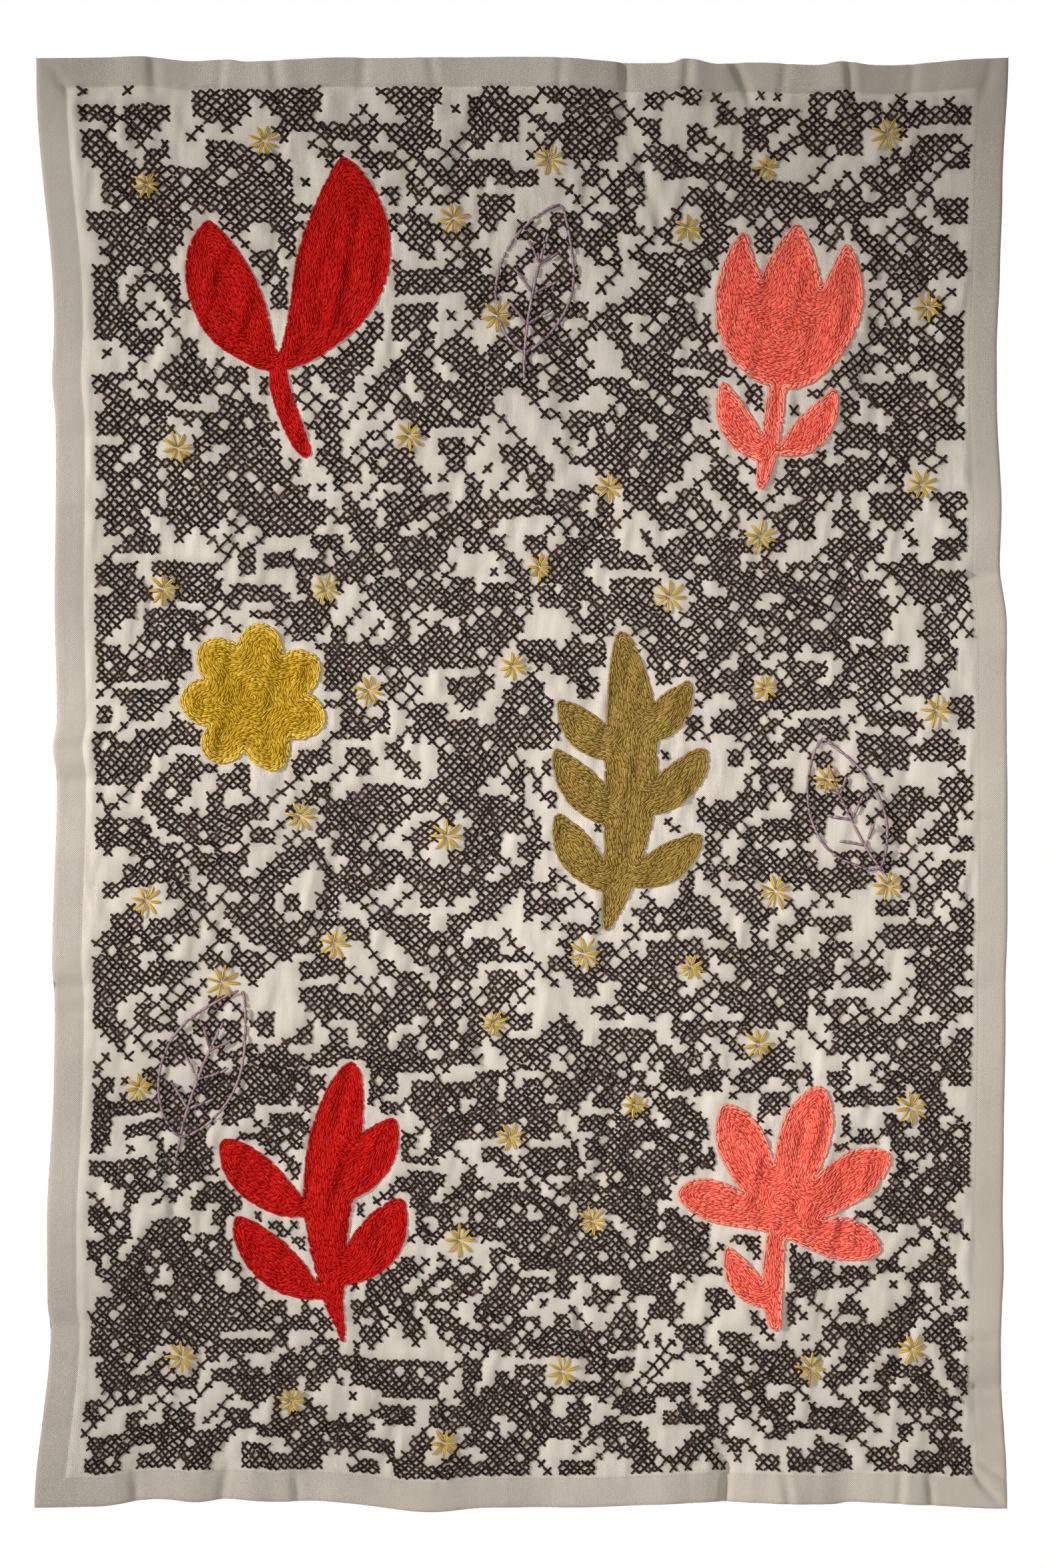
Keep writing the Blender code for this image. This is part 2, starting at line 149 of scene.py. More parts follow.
HEM_FOLDS = [HemFold(side, *row) for side, rows in {
    Side.TOP: (
        (0.105, 0.075, 0.0045, 0.10), (0.170, 0.070, -0.0035, 0.08), (0.248, 0.070, 0.0040, 0.12),
        (0.330, 0.080, -0.0040, 0.10), (0.405, 0.075, 0.0035, 0.09), (0.545, 0.080, 0.0045, 0.09),
        (0.612, 0.065, -0.0055, 0.14), (0.672, 0.062, 0.0065, 0.12), (0.730, 0.065, -0.0045, 0.10),
        (0.832, 0.065, 0.0060, 0.11), (0.890, 0.065, -0.0040, 0.10), (0.950, 0.060, 0.0030, 0.08),
    ),
    Side.BOTTOM: (
        (0.108, 0.065, -0.0050, 0.10), (0.163, 0.065, 0.0045, 0.09), (0.222, 0.060, 0.0055, 0.09),
        (0.282, 0.065, -0.0045, 0.08), (0.408, 0.110, 0.0050, 0.09), (0.520, 0.080, -0.0035, 0.08),
        (0.650, 0.075, 0.0040, 0.08), (0.712, 0.060, -0.0060, 0.10), (0.775, 0.065, 0.0045, 0.08),
        (0.835, 0.060, -0.0050, 0.09), (0.900, 0.065, 0.0040, 0.08),
    ),
    Side.LEFT: (
        (0.300, 0.100, -0.0035, 0.08), (0.385, 0.090, 0.0040, 0.07), (0.560, 0.110, 0.0030, 0.07),
        (0.655, 0.080, -0.0030, 0.07), (0.718, 0.080, 0.0055, 0.09), (0.790, 0.080, -0.0035, 0.07),
        (0.940, 0.090, 0.0045, 0.08), (1.010, 0.080, -0.0035, 0.07), (1.190, 0.110, 0.0040, 0.07),
        (1.305, 0.085, -0.0055, 0.09), (1.385, 0.085, 0.0045, 0.08),
    ),
    Side.RIGHT: (
        (0.235, 0.110, -0.0030, 0.07), (0.470, 0.090, 0.0035, 0.07), (0.530, 0.080, -0.0050, 0.08),
        (0.600, 0.090, 0.0055, 0.08), (0.760, 0.110, 0.0030, 0.07), (0.960, 0.100, -0.0030, 0.07),
        (1.140, 0.110, 0.0035, 0.07), (1.315, 0.085, 0.0045, 0.08), (1.385, 0.080, -0.0055, 0.09),
        (1.450, 0.070, 0.0035, 0.07),
    ),
}.items() for row in rows]
FIELD_FOLDS = [FieldFold(*row) for row in (
    (-0.330, 0.470, 12.0, 0.420, 0.110, 0.0040), (-0.100, 0.180, -20.0, 0.300, 0.100, 0.0035),
    (0.060, 0.420, 8.0, 0.380, 0.090, -0.0035), (0.330, 0.300, -14.0, 0.340, 0.110, 0.0045),
    (0.160, 0.640, -30.0, 0.360, 0.120, 0.0040), (-0.150, 0.760, 15.0, 0.420, 0.120, -0.0040),
    (0.400, 0.820, 4.0, 0.460, 0.100, -0.0035), (-0.380, 0.930, -6.0, 0.400, 0.110, 0.0035),
    (0.020, 1.010, 18.0, 0.380, 0.120, 0.0040), (0.300, 1.180, -16.0, 0.360, 0.110, 0.0035),
    (-0.260, 1.260, 22.0, 0.340, 0.120, -0.0035), (0.120, 1.350, 5.0, 0.260, 0.100, -0.0030),
)]

# Sharper creases than the solids hold, in the hem first and then in the bare cloth of the field
CREASES = [FieldFold(*row) for row in (
    (-0.380, 0.010, 4.0, 0.110, 0.020, -0.0014), (-0.311, 0.015, -6.0, 0.090, 0.016, -0.0010),
    (-0.254, 0.012, 8.0, 0.130, 0.024, -0.0018), (-0.164, 0.015, -5.0, 0.100, 0.020, -0.0012),
    (-0.093, 0.010, 10.0, 0.110, 0.018, -0.0012), (0.040, 0.014, -4.0, 0.100, 0.016, -0.0012),
    (0.106, 0.012, 3.0, 0.130, 0.018, -0.0020), (0.170, 0.012, -5.0, 0.140, 0.018, -0.0022),
    (0.227, 0.018, 24.0, 0.130, 0.020, -0.0022), (0.270, 0.012, -8.0, 0.090, 0.016, -0.0012),
    (0.337, 0.012, 5.0, 0.120, 0.018, -0.0020), (0.402, 0.014, -6.0, 0.090, 0.018, -0.0012),
    (0.480, 0.020, -14.0, 0.090, 0.016, -0.0012), (-0.470, 0.030, 38.0, 0.090, 0.018, -0.0012),
    (-0.397, 1.490, 5.0, 0.100, 0.018, -0.0014), (-0.306, 1.486, -8.0, 0.100, 0.018, -0.0014),
    (-0.231, 1.488, 6.0, 0.090, 0.016, -0.0012), (0.211, 1.486, -4.0, 0.120, 0.016, -0.0024),
    (0.275, 1.490, 8.0, 0.090, 0.016, -0.0012), (0.390, 1.490, -6.0, 0.100, 0.016, -0.0014),
    (0.422, 1.488, 6.0, 0.090, 0.014, -0.0012), (0.478, 1.478, 42.0, 0.080, 0.014, -0.0018),
    (0.487, 1.462, 55.0, 0.070, 0.012, -0.0012), (-0.480, 0.390, 84.0, 0.080, 0.018, -0.0010),
    (-0.478, 0.470, 98.0, 0.080, 0.016, -0.0008), (-0.476, 0.714, 88.0, 0.090, 0.016, -0.0022),
    (-0.478, 0.747, 90.0, 0.080, 0.014, -0.0020), (-0.478, 0.961, 86.0, 0.090, 0.016, -0.0022),
    (-0.476, 0.985, 95.0, 0.070, 0.014, -0.0010), (-0.474, 1.310, 90.0, 0.100, 0.016, -0.0024),
    (-0.478, 1.420, 80.0, 0.070, 0.016, -0.0010), (0.480, 0.535, 94.0, 0.080, 0.016, -0.0020),
    (0.482, 0.600, 88.0, 0.070, 0.016, -0.0010), (0.482, 0.960, 92.0, 0.070, 0.016, -0.0010),
    (0.480, 1.326, 86.0, 0.080, 0.014, -0.0022), (0.482, 1.374, 92.0, 0.080, 0.014, -0.0020),
    (0.482, 1.396, 96.0, 0.070, 0.012, -0.0014), (0.484, 1.430, 88.0, 0.070, 0.014, -0.0014),
    (0.484, 1.457, 98.0, 0.060, 0.012, -0.0012), (-0.060, 0.090, -22.0, 0.160, 0.022, -0.0014),
    (0.128, 0.120, 18.0, 0.200, 0.024, -0.0018), (0.186, 0.250, -14.0, 0.180, 0.022, -0.0014),
    (0.420, 0.230, 8.0, 0.200, 0.024, -0.0016), (-0.130, 0.330, 16.0, 0.190, 0.024, -0.0014),
    (0.080, 0.470, -24.0, 0.170, 0.022, -0.0014), (-0.400, 0.560, 6.0, 0.160, 0.022, -0.0014),
    (-0.150, 0.620, 20.0, 0.180, 0.022, -0.0014), (0.330, 0.560, -12.0, 0.200, 0.024, -0.0016),
    (0.240, 0.830, 14.0, 0.200, 0.024, -0.0014), (-0.210, 0.860, -10.0, 0.180, 0.024, -0.0014),
    (-0.050, 1.030, 26.0, 0.160, 0.022, -0.0014), (0.080, 1.140, -8.0, 0.200, 0.024, -0.0016),
    (-0.370, 1.180, 10.0, 0.180, 0.022, -0.0014), (0.060, 1.320, 12.0, 0.160, 0.022, -0.0014),
    (0.390, 1.350, -18.0, 0.150, 0.022, -0.0014),
)]

TULIP = [Petal(*row) for row in (
    (0.000, 0.000, 0.0, 0.200, 0.0, 0.039, 0.50, 0.80),
    (0.006, 0.002, -52.0, 0.200, 62.0, 0.035, 0.42, 0.75),
    (-0.006, 0.002, 52.0, 0.200, -62.0, 0.035, 0.42, 0.75),
    (0.000, 0.030, 180.0, 0.160, 10.0, 0.0115, 0.50, 0.30),
    (-0.002, -0.095, -60.0, 0.118, 50.0, 0.021, 0.50, 0.80),
    (0.001, -0.082, 64.0, 0.114, -50.0, 0.021, 0.50, 0.80),
)]
SPROUT = [Petal(*row) for row in (
    (0.000, 0.000, 46.0, 0.262, -58.0, 0.052, 0.54, 0.74),
    (0.004, 0.000, -56.0, 0.196, 58.0, 0.040, 0.54, 0.74),
    (0.000, 0.020, 180.0, 0.126, -34.0, 0.0115, 0.50, 0.30),
)]
ROSETTE_PETALS = 7
ROSETTE = [
    Petal(0.000, 0.000, 8.0 + 360.0 * i / ROSETTE_PETALS, 0.086, 0.0, 0.0262, 0.66, 0.60)
    for i in range(ROSETTE_PETALS)
]
FERN = [Petal(*row) for row in (
    (0.000, 0.000, 0.0, 0.335, -26.0, 0.029, 0.56, 0.55),
    (0.000, 0.058, 62.0, 0.104, -34.0, 0.0205, 0.54, 0.72),
    (-0.003, 0.046, -70.0, 0.108, 34.0, 0.0205, 0.54, 0.72),
    (-0.010, 0.134, 52.0, 0.110, -34.0, 0.0210, 0.54, 0.72),
    (-0.010, 0.118, -76.0, 0.116, 34.0, 0.0215, 0.54, 0.72),
    (-0.028, 0.208, 44.0, 0.092, -34.0, 0.0195, 0.54, 0.72),
    (-0.028, 0.190, -84.0, 0.102, 34.0, 0.0200, 0.54, 0.72),
)]
SPRIG = [Petal(*row) for row in (
    (0.000, 0.000, 0.0, 0.335, 30.0, 0.030, 0.66, 0.55),
    (-0.005, 0.061, -52.0, 0.142, 34.0, 0.026, 0.55, 0.70),
    (0.003, 0.073, 68.0, 0.138, -34.0, 0.026, 0.55, 0.70),
    (0.004, 0.159, -56.0, 0.142, 36.0, 0.026, 0.55, 0.70),
    (0.011, 0.166, 68.0, 0.138, -32.0, 0.026, 0.55, 0.70),
)]
PALMETTE = [Petal(*row) for row in (
    (0.000, 0.000, 0.0, 0.172, 0.0, 0.029, 0.64, 0.62),
    (0.002, 0.000, -36.0, 0.156, -8.0, 0.027, 0.64, 0.62),
    (-0.002, 0.000, 36.0, 0.156, 8.0, 0.027, 0.64, 0.62),
    (0.004, 0.000, -72.0, 0.124, -24.0, 0.023, 0.64, 0.62),
    (-0.004, 0.000, 72.0, 0.124, 24.0, 0.023, 0.64, 0.62),
    (0.000, 0.026, 180.0, 0.136, -28.0, 0.0115, 0.50, 0.30),
    (0.021, -0.080, -76.0, 0.088, 44.0, 0.0165, 0.50, 0.80),
)]


def smooth(share: np.ndarray) -> np.ndarray:
    """Eases from 0 to 1, flat at both ends."""
    share = np.clip(share, 0.0, 1.0)
    return share * share * (3.0 - 2.0 * share)


def bump(offset: np.ndarray, width: float) -> np.ndarray:
    """A soft ridge of that whole width, 1 at its middle."""
    return np.where(np.abs(offset) < width / 2, 0.5 + 0.5 * np.cos(2.0 * math.pi * offset / width), 0.0)


def eased(rows: list[EdgePoint], along: np.ndarray) -> np.ndarray:
    """How far an edge stands out at each place along it, eased between its turning points."""
    places = np.array([row.along for row in rows])
    outs = np.array([row.out for row in rows])
    low = np.clip(np.searchsorted(places, along, side="right") - 1, 0, len(rows) - 2)
    share = smooth((along - places[low]) / (places[low + 1] - places[low]))
    return outs[low] + (outs[low + 1] - outs[low]) * share


def fold_rise(fold: FieldFold, across: np.ndarray, drop: np.ndarray) -> np.ndarray:
    """How far one fold or crease lifts the cloth at flat places."""
    lean = math.radians(fold.lean)
    side, down = across - fold.across, drop - fold.drop
    offset = side * math.cos(lean) - down * math.sin(lean)
    along = side * math.sin(lean) + down * math.cos(lean)
    return fold.rise * bump(offset, fold.width) * bump(along, fold.length)


def value_noise(seed: int, first: np.ndarray, second: np.ndarray) -> np.ndarray:
    """Smooth seeded noise from -1 to 1, which changes over one unit of its two coordinates.

    Args:
        seed: Chooses the pattern.
        first: First coordinates.
        second: Second coordinates, of the same shape.

    Returns:
        The noise at each pair of coordinates.
    """
    size = 256
    lattice = np.random.default_rng(seed).uniform(-1.0, 1.0, (size, size))
    i, j = np.floor(first).astype(int), np.floor(second).astype(int)
    u, v = smooth(first - i), smooth(second - j)
    near = lattice[i % size, j % size] * (1 - u) + lattice[(i + 1) % size, j % size] * u
    far = lattice[i % size, (j + 1) % size] * (1 - u) + lattice[(i + 1) % size, (j + 1) % size] * u
    return near * (1 - v) + far * v


def arc_lengths(path: np.ndarray) -> np.ndarray:
    """The distance along a path of points at each of its points."""
    return np.concatenate([[0.0], np.cumsum(np.linalg.norm(np.diff(path, axis=0), axis=1))])


def softened(line: np.ndarray, pitch: float = 0.0016, passes: int = 3) -> np.ndarray:
    """A closed line at even steps, with its sharp turns eased."""
    places = spaced(line, pitch)[:-1]
    for _ in range(passes):
        places = 0.5 * places + 0.25 * (np.roll(places, 1, axis=0) + np.roll(places, -1, axis=0))
    return np.vstack([places, places[:1]])


def spaced(path: np.ndarray, pitch: float) -> np.ndarray:
    """Points at even steps along a path, as near the pitch as its length allows."""
    along = arc_lengths(path)
    steps = max(1, round(along[-1] / pitch))
    places = np.linspace(0.0, along[-1], steps + 1)
    return np.stack([np.interp(places, along, path[:, k]) for k in range(2)], axis=1)


@dataclass
class Drape:
    """How the flat cloth hangs: its drawn-in edges, its folds and the puckers of the stitching.

    The relief is kept on a net of lines, which is also the net of the cloth's mesh, so that stitches
    follow the very surface that the mesh shows.
    """

    width: float = 1.000
    height: float = 1.500
    hem: float = 0.031
    corner_curl: float = 0.006
    corner_reach: float = 0.090
    hem_lines: tuple[float, ...] = (
        0.0010, 0.0045, 0.0085, 0.0130, 0.0175, 0.0215, 0.0250, 0.0278, 0.0298, 0.0315, 0.0330, 0.0360
    )
    crease_strength: float = 2.4
    field_columns: int = 286
    field_rows: int = 226
    across_lines: np.ndarray = field(init=False)
    drop_lines: np.ndarray = field(init=False)
    relief: np.ndarray = field(init=False)

    def __post_init__(self) -> None:
        """Lays out the net and its coarse relief."""
        self.across_lines = self._lines(self.width, self.field_columns) - self.width / 2
        self.drop_lines = self._lines(self.height, self.field_rows)
        across, drop = self.net()
        creases = sum(fold_rise(crease, across, drop) for crease in CREASES)
        self.relief = self._coarse(across, drop) + self.crease_strength * creases

    def _lines(self, length: float, cells: int) -> np.ndarray:
        """The net's lines over one length of cloth, close together in the hems."""
        low = np.array(self.hem_lines)
        inner = np.linspace(low[-1], length - low[-1], cells + 1)[1:-1]
        return np.concatenate([low, inner, (length - low)[::-1]])

    def net(self) -> tuple[np.ndarray, np.ndarray]:
        """The flat places of the net's crossings, as two arrays of rows and columns."""
        return np.meshgrid(self.across_lines, self.drop_lines)

    def inset(self, across: np.ndarray, drop: np.ndarray) -> np.ndarray:
        """How far flat places lie in from the nearest edge."""
        return np.minimum(self.width / 2 - np.abs(across), np.minimum(drop, self.height - drop))

    def _coarse(self, across: np.ndarray, drop: np.ndarray) -> np.ndarray:
        """The folds that the solids hold, at flat places."""
        along = {
            Side.TOP: (across + self.width / 2, drop),
            Side.BOTTOM: (across + self.width / 2, self.height - drop),
            Side.LEFT: (drop, across + self.width / 2),
            Side.RIGHT: (drop, self.width / 2 - across),
        }
        rise = sum(fold_rise(fold, across, drop) for fold in FIELD_FOLDS)
        for fold in HEM_FOLDS:
            place, inward = along[fold.side]
            rise = rise + fold.rise * bump(place - fold.at, fold.width) * smooth(1.0 - inward / fold.reach)
        corner_gap = np.hypot(self.width / 2 - np.abs(across), np.minimum(drop, self.height - drop))
        return rise + self.corner_curl * smooth(1.0 - corner_gap / self.corner_reach)

    def rise(self, across: np.ndarray, drop: np.ndarray) -> np.ndarray:
        """How far forward of the wall plane the face stands at flat places, read from the net."""
        i = np.clip(np.searchsorted(self.across_lines, across) - 1, 0, len(self.across_lines) - 2)
        j = np.clip(np.searchsorted(self.drop_lines, drop) - 1, 0, len(self.drop_lines) - 2)
        u = np.clip((across - self.across_lines[i]) / np.diff(self.across_lines)[i], 0.0, 1.0)
        v = np.clip((drop - self.drop_lines[j]) / np.diff(self.drop_lines)[j], 0.0, 1.0)
        near = self.relief[j, i] * (1 - u) + self.relief[j, i + 1] * u
        far = self.relief[j + 1, i] * (1 - u) + self.relief[j + 1, i + 1] * u
        return near * (1 - v) + far * v

    def hung(self, places: np.ndarray) -> np.ndarray:
        """Turns flat places into the places where they hang.

        Args:
            places: Rows of across, drop and lift.

        Returns:
            Rows of x, y and z in the part's frame.
        """
        across, drop, lift = places.T
        from_left = across + self.width / 2
        left = -self.width / 2 - eased(LEFT_EDGE, drop)
        right = self.width / 2 + eased(RIGHT_EDGE, drop)
        top = eased(TOP_EDGE, from_left)
        bottom = -self.height - eased(BOTTOM_EDGE, from_left)
        x = left + (right - left) * from_left / self.width
        z = top + (bottom - top) * drop / self.height
        return np.stack([x, -self.rise(across, drop) - lift, z], axis=1)


class Tone(Enum):
    """How light a yarn is: its usual strands, and the paler ones of an outer row."""

    BODY = 0.45
    PALE = 0.90


@dataclass
class YarnBatch:
    """Many short closed strands, kept as arrays of flat places until they become one mesh.

    A strand has a flat foot and a ridge along its top, which smooth shading rounds off.
    """

    first_free: int = 0
    places: list[np.ndarray] = field(default_factory=list)
    tones: list[np.ndarray] = field(default_factory=list)
    under: list[np.ndarray] = field(default_factory=list)
    upper: list[np.ndarray] = field(default_factory=list)

    def add(
        self,
        paths: np.ndarray,
        half_width: np.ndarray,
        half_height: float,
        tones: np.ndarray,
        back: bool = False,
    ) -> None:
        """Adds strands that all have as many stations.

        Args:
            paths: Centres of shape (strands, stations, 3), whose first and last stations are the tips.
            half_width: Half widths at the stations between the tips, for all strands or a row for each.
            half_height: How far the ridge stands above a strand's middle.
            tones: One tone for each strand.
            back: Whether the strands lie on the cloth's back.
        """
        count, stations, _ = paths.shape
        rings = stations - 2
        along = np.gradient(paths[:, :, :2], axis=1)
        along /= np.linalg.norm(along, axis=2, keepdims=True) + TINY
        sideways = np.stack([along[..., 1], -along[..., 0]], axis=2)[:, 1:-1]
        outward = -1.0 if back else 1.0
        ring = np.repeat(paths[:, 1:-1, None, :], 3, axis=2)
        for corner, (out, up) in enumerate([(0.0, 1.0), (-1.0, -0.5), (1.0, -0.5)]):
            ring[:, :, corner, :2] += sideways * out * np.atleast_2d(half_width)[:, :, None]
            ring[:, :, corner, 2] += outward * up * half_height
        block = np.concatenate([paths[:, :1], ring.reshape(count, rings * 3, 3), paths[:, -1:]], axis=1)
        self.places.append(block.reshape(-1, 3))
        self.tones.append(np.repeat(tones, 2 + rings * 3))
        starts = self.first_free + np.arange(count)[:, None, None] * (2 + rings * 3)
        self.under.append((starts + self._faces(rings, [1])).reshape(-1, 3))
        self.upper.append((starts + self._faces(rings, [0, 2])).reshape(-1, 3))
        self.first_free += count * (2 + rings * 3)

    def _faces(self, rings: int, sides: list[int]) -> np.ndarray:
        """The triangles of one strand on the sides named, by point numbers from its first tip."""
        faces = []
        end = 1 + rings * 3
        for side in sides:
            other = (side + 1) % 3
            faces.append((0, 1 + side, 1 + other))
            for low in range(1, end - 3, 3):
                faces.append((low + side, low + 3 + side, low + 3 + other))
                faces.append((low + side, low + 3 + other, low + other))
            faces.append((end - 3 + other, end - 3 + side, end))
        return np.array(faces)[None]

    def made(self, name: str, drape: Drape) -> bpy.types.Object:
        """Hangs the strands on the cloth as one mesh object.

        Args:
            name: The object's name.
            drape: How the cloth hangs.

        Returns:
            The new object, with its tones and its map for the shaders.
        """
        flat = np.concatenate(self.places)
        faces = np.concatenate(self.under + self.upper)
        return mesh_object(name, drape.hung(flat), faces, np.concatenate(self.tones))


def mesh_object(
    name: str, points: np.ndarray, faces: np.ndarray, tones: np.ndarray, folded_map: bool = False
) -> bpy.types.Object:
    """Makes a smooth mesh object with a tone at each point and a flat map of its face.

    Args:
        name: The object's name.
        points: Rows of x, y and z.
        faces: Rows of three point numbers. All are turned outwards together.
        tones: One tone for each point.
        folded_map: Whether faces that look back get the other half of the map.

    Returns:
        The new object, linked to the scene and riding on the part's body.
    """
    first, second, third = (points[faces[:, k]] for k in range(3))
    if np.einsum("ij,ij->", first, np.cross(second, third)) < 0:
        faces = faces[:, ::-1]
    mesh = bpy.data.meshes.new(name)
    mesh.vertices.add(len(points))
    mesh.vertices.foreach_set("co", points.ravel().astype(np.float32))
    mesh.loops.add(faces.size)
    mesh.loops.foreach_set("vertex_index", faces.ravel().astype(np.int32))
    mesh.polygons.add(len(faces))
    mesh.polygons.foreach_set("loop_start", np.arange(len(faces), dtype=np.int32) * 3)
    mesh.polygons.foreach_set("use_smooth", np.ones(len(faces), bool))
    mesh.update(calc_edges=True)
    mesh.attributes.new("tone", "FLOAT", "POINT").data.foreach_set("value", tones.astype(np.float32))
    low, high = points.min(axis=0), points.max(axis=0)
    flat = (points[:, [0, 2]] - low[[0, 2]]) / (high - low)[[0, 2]] * 0.99 + 0.005
    places = flat[faces.ravel()]
    if folded_map:
        normals = np.empty(len(faces) * 3, np.float32)
        mesh.polygons.foreach_get("normal", normals)
        places[:, 0] = places[:, 0] * 0.5 + 0.5 * np.repeat(normals.reshape(-1, 3)[:, 1] > 0, 3)
    mesh.uv_layers.new(name="OFBake").data.foreach_set("uv", places.ravel().astype(np.float32))
    made = bpy.data.objects.new(name, mesh)
    bpy.context.scene.collection.objects.link(made)
    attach(made, BODY)
    return made


class Nodes:
    """Short ways to place and join shader nodes in one tree."""

    def __init__(self, tree: bpy.types.NodeTree) -> None:
        """Works in that tree."""
        self.tree = tree

    def add(self, kind: str, inputs: dict[str, object] | None = None, **settings: object) -> bpy.types.Node:
        """Places a node with those values at its inputs and those settings."""
        node = self.tree.nodes.new(kind)
        for name, value in (inputs or {}).items():
            node.inputs[name].default_value = value
        for name, value in settings.items():
            setattr(node, name, value)
        return node

    def join(self, output: bpy.types.NodeSocket, target: bpy.types.NodeSocket) -> None:
        """Joins an output to an input."""
        self.tree.links.new(output, target)

    def maths(self, operation: str, first: object, second: object = 0.0, third: object = 0.0) -> object:
        """Places a Math node whose inputs are numbers or outputs, and returns its output."""
        node = self.add("ShaderNodeMath", operation=operation)
        for socket, value in zip(node.inputs, (first, second, third)):
            if isinstance(value, bpy.types.NodeSocket):
                self.join(value, socket)
            else:
                socket.default_value = value
        return node.outputs[0]

    def noise(self, place: bpy.types.NodeSocket, **inputs: float) -> bpy.types.Node:
        """Places a noise texture that reads that place, with its inputs given by their names."""
        node = self.add("ShaderNodeTexNoise", {name.capitalize(): value for name, value in inputs.items()})
        self.join(place, node.inputs["Vector"])
        return node

    def ramp(self, share: bpy.types.NodeSocket, stops: list[tuple[float, Colour]]) -> bpy.types.NodeSocket:
        """Places a colour ramp with two stops or more, and returns its colour."""
        node = self.add("ShaderNodeValToRGB")
        elements = node.color_ramp.elements
        elements[0].position, elements[0].color = stops[0]
        elements[1].position, elements[1].color = stops[-1]
        for position, colour in stops[1:-1]:
            elements.new(position).color = colour
        self.join(share, node.inputs[0])
        return node.outputs[0]

    def roughen(
        self, shader: bpy.types.Node, height: bpy.types.NodeSocket, strength: float, distance: float
    ) -> None:
        """Gives a shader the relief of a height."""
        relief = self.add("ShaderNodeBump", {"Strength": strength, "Distance": distance})
        self.join(height, relief.inputs["Height"])
        self.join(relief.outputs[0], shader.inputs["Normal"])


def new_group(name: str, inputs: dict[str, float], outputs: list[str]) -> tuple[bpy.types.NodeTree, Nodes]:
    """Makes an empty shader node group.

    Args:
        name: The group's name.
        inputs: Float inputs with their defaults.
        outputs: Float outputs.

    Returns:
        The group's tree, and its nodes.
    """
    tree = bpy.data.node_groups.new(name, "ShaderNodeTree")
    for socket, value in inputs.items():
        made = tree.interface.new_socket(name=socket, in_out="INPUT", socket_type="NodeSocketFloat")
        made.default_value = value
    for socket in outputs:
        tree.interface.new_socket(name=socket, in_out="OUTPUT", socket_type="NodeSocketFloat")
    return tree, Nodes(tree)


def weave_group() -> bpy.types.NodeTree:
    """The twill weave: ribs that climb to the right, crossed by finer threads.

    Returns:
        A group with the weave's height and its shade, both from 0 to 1. The shade is painted shade, darkest
        in the weave's hollows.
    """
    found = bpy.data.node_groups.get("twill_weave")
    if found:
        return found
    tree, nodes = new_group("twill_weave", {"Rib": 0.0018, "Waver": 0.12}, ["Height", "Shade"])
    given = nodes.add("NodeGroupInput")
    given_out = nodes.add("NodeGroupOutput")
    place = nodes.add("ShaderNodeTexCoord")
    split = nodes.add("ShaderNodeSeparateXYZ")
    nodes.join(place.outputs["Object"], split.inputs[0])
    waver = nodes.noise(place.outputs["Object"], scale=160.0, detail=2.0)
    shift = nodes.maths("MULTIPLY", waver.outputs[0], given.outputs["Waver"])
    climb = nodes.maths("SUBTRACT", split.outputs["Z"], split.outputs["X"])
    fall = nodes.maths("ADD", split.outputs["Z"], split.outputs["X"])
    ribs = nodes.maths("DIVIDE", climb, given.outputs["Rib"])
    turns = nodes.maths("MULTIPLY", nodes.maths("ADD", ribs, shift), 2.0 * math.pi)
    rib = nodes.maths("MULTIPLY_ADD", nodes.maths("SINE", turns), 0.5, 0.5)
    threads = nodes.maths("DIVIDE", fall, given.outputs["Rib"])
    crossing = nodes.maths("MULTIPLY", nodes.maths("ADD", threads, shift), 2.0 * math.pi)
    thread = nodes.maths("MULTIPLY_ADD", nodes.maths("SINE", crossing), 0.5, 0.5)
    height = nodes.maths("MULTIPLY", rib, nodes.maths("MULTIPLY_ADD", thread, 0.75, 0.25))
    nodes.join(height, given_out.inputs["Height"])
    # Painted shade: the colour is darker where the weave lies low.
    nodes.join(nodes.maths("MULTIPLY_ADD", height, 0.7, 0.3), given_out.inputs["Shade"])
    return tree


def fibre_group() -> bpy.types.NodeTree:
    """Loose wool fibre: fine uneven streaks that roughen a strand.

    Returns:
        A group with the fibre's height and its shade, both from 0 to 1.
    """
    found = bpy.data.node_groups.get("wool_fibre")
    if found:
        return found
    tree, nodes = new_group("wool_fibre", {"Fineness": 1400.0}, ["Height", "Shade"])
    given = nodes.add("NodeGroupInput")
    given_out = nodes.add("NodeGroupOutput")
    place = nodes.add("ShaderNodeTexCoord")
    fine = nodes.noise(place.outputs["Object"], detail=3.0, roughness=0.65)
    nodes.join(given.outputs["Fineness"], fine.inputs["Scale"])
    broad = nodes.noise(place.outputs["Object"], scale=38.0, detail=2.0)
    nodes.join(fine.outputs[0], given_out.inputs["Height"])
    shade = nodes.maths("MULTIPLY_ADD", fine.outputs[0], 0.6, nodes.maths("MULTIPLY", broad.outputs[0], 0.4))
    nodes.join(shade, given_out.inputs["Shade"])
    return tree


def linear(red: int, green: int, blue: int) -> Colour:
    """A colour given from 0 to 255 as it looks, as Blender's linear values."""
    parts = (value / 255 for value in (red, green, blue))
    return (*(p / 12.92 if p <= 0.04045 else ((p + 0.055) / 1.055) ** 2.4 for p in parts), 1.0)


def new_material(name: str, values: dict[str, object]) -> tuple[bpy.types.Material, Nodes, bpy.types.Node]:
    """Makes a material with one Principled shader.

    Args:
        name: The material's name.
        values: Constants for the shader, by the names of its inputs.

    Returns:
        The material, its nodes and its shader.
    """
    made = bpy.data.materials.new(name)
    made.use_nodes = True
    shader = made.node_tree.nodes["Principled BSDF"]
    for socket, value in values.items():
        shader.inputs[socket].default_value = value
    return made, Nodes(made.node_tree), shader


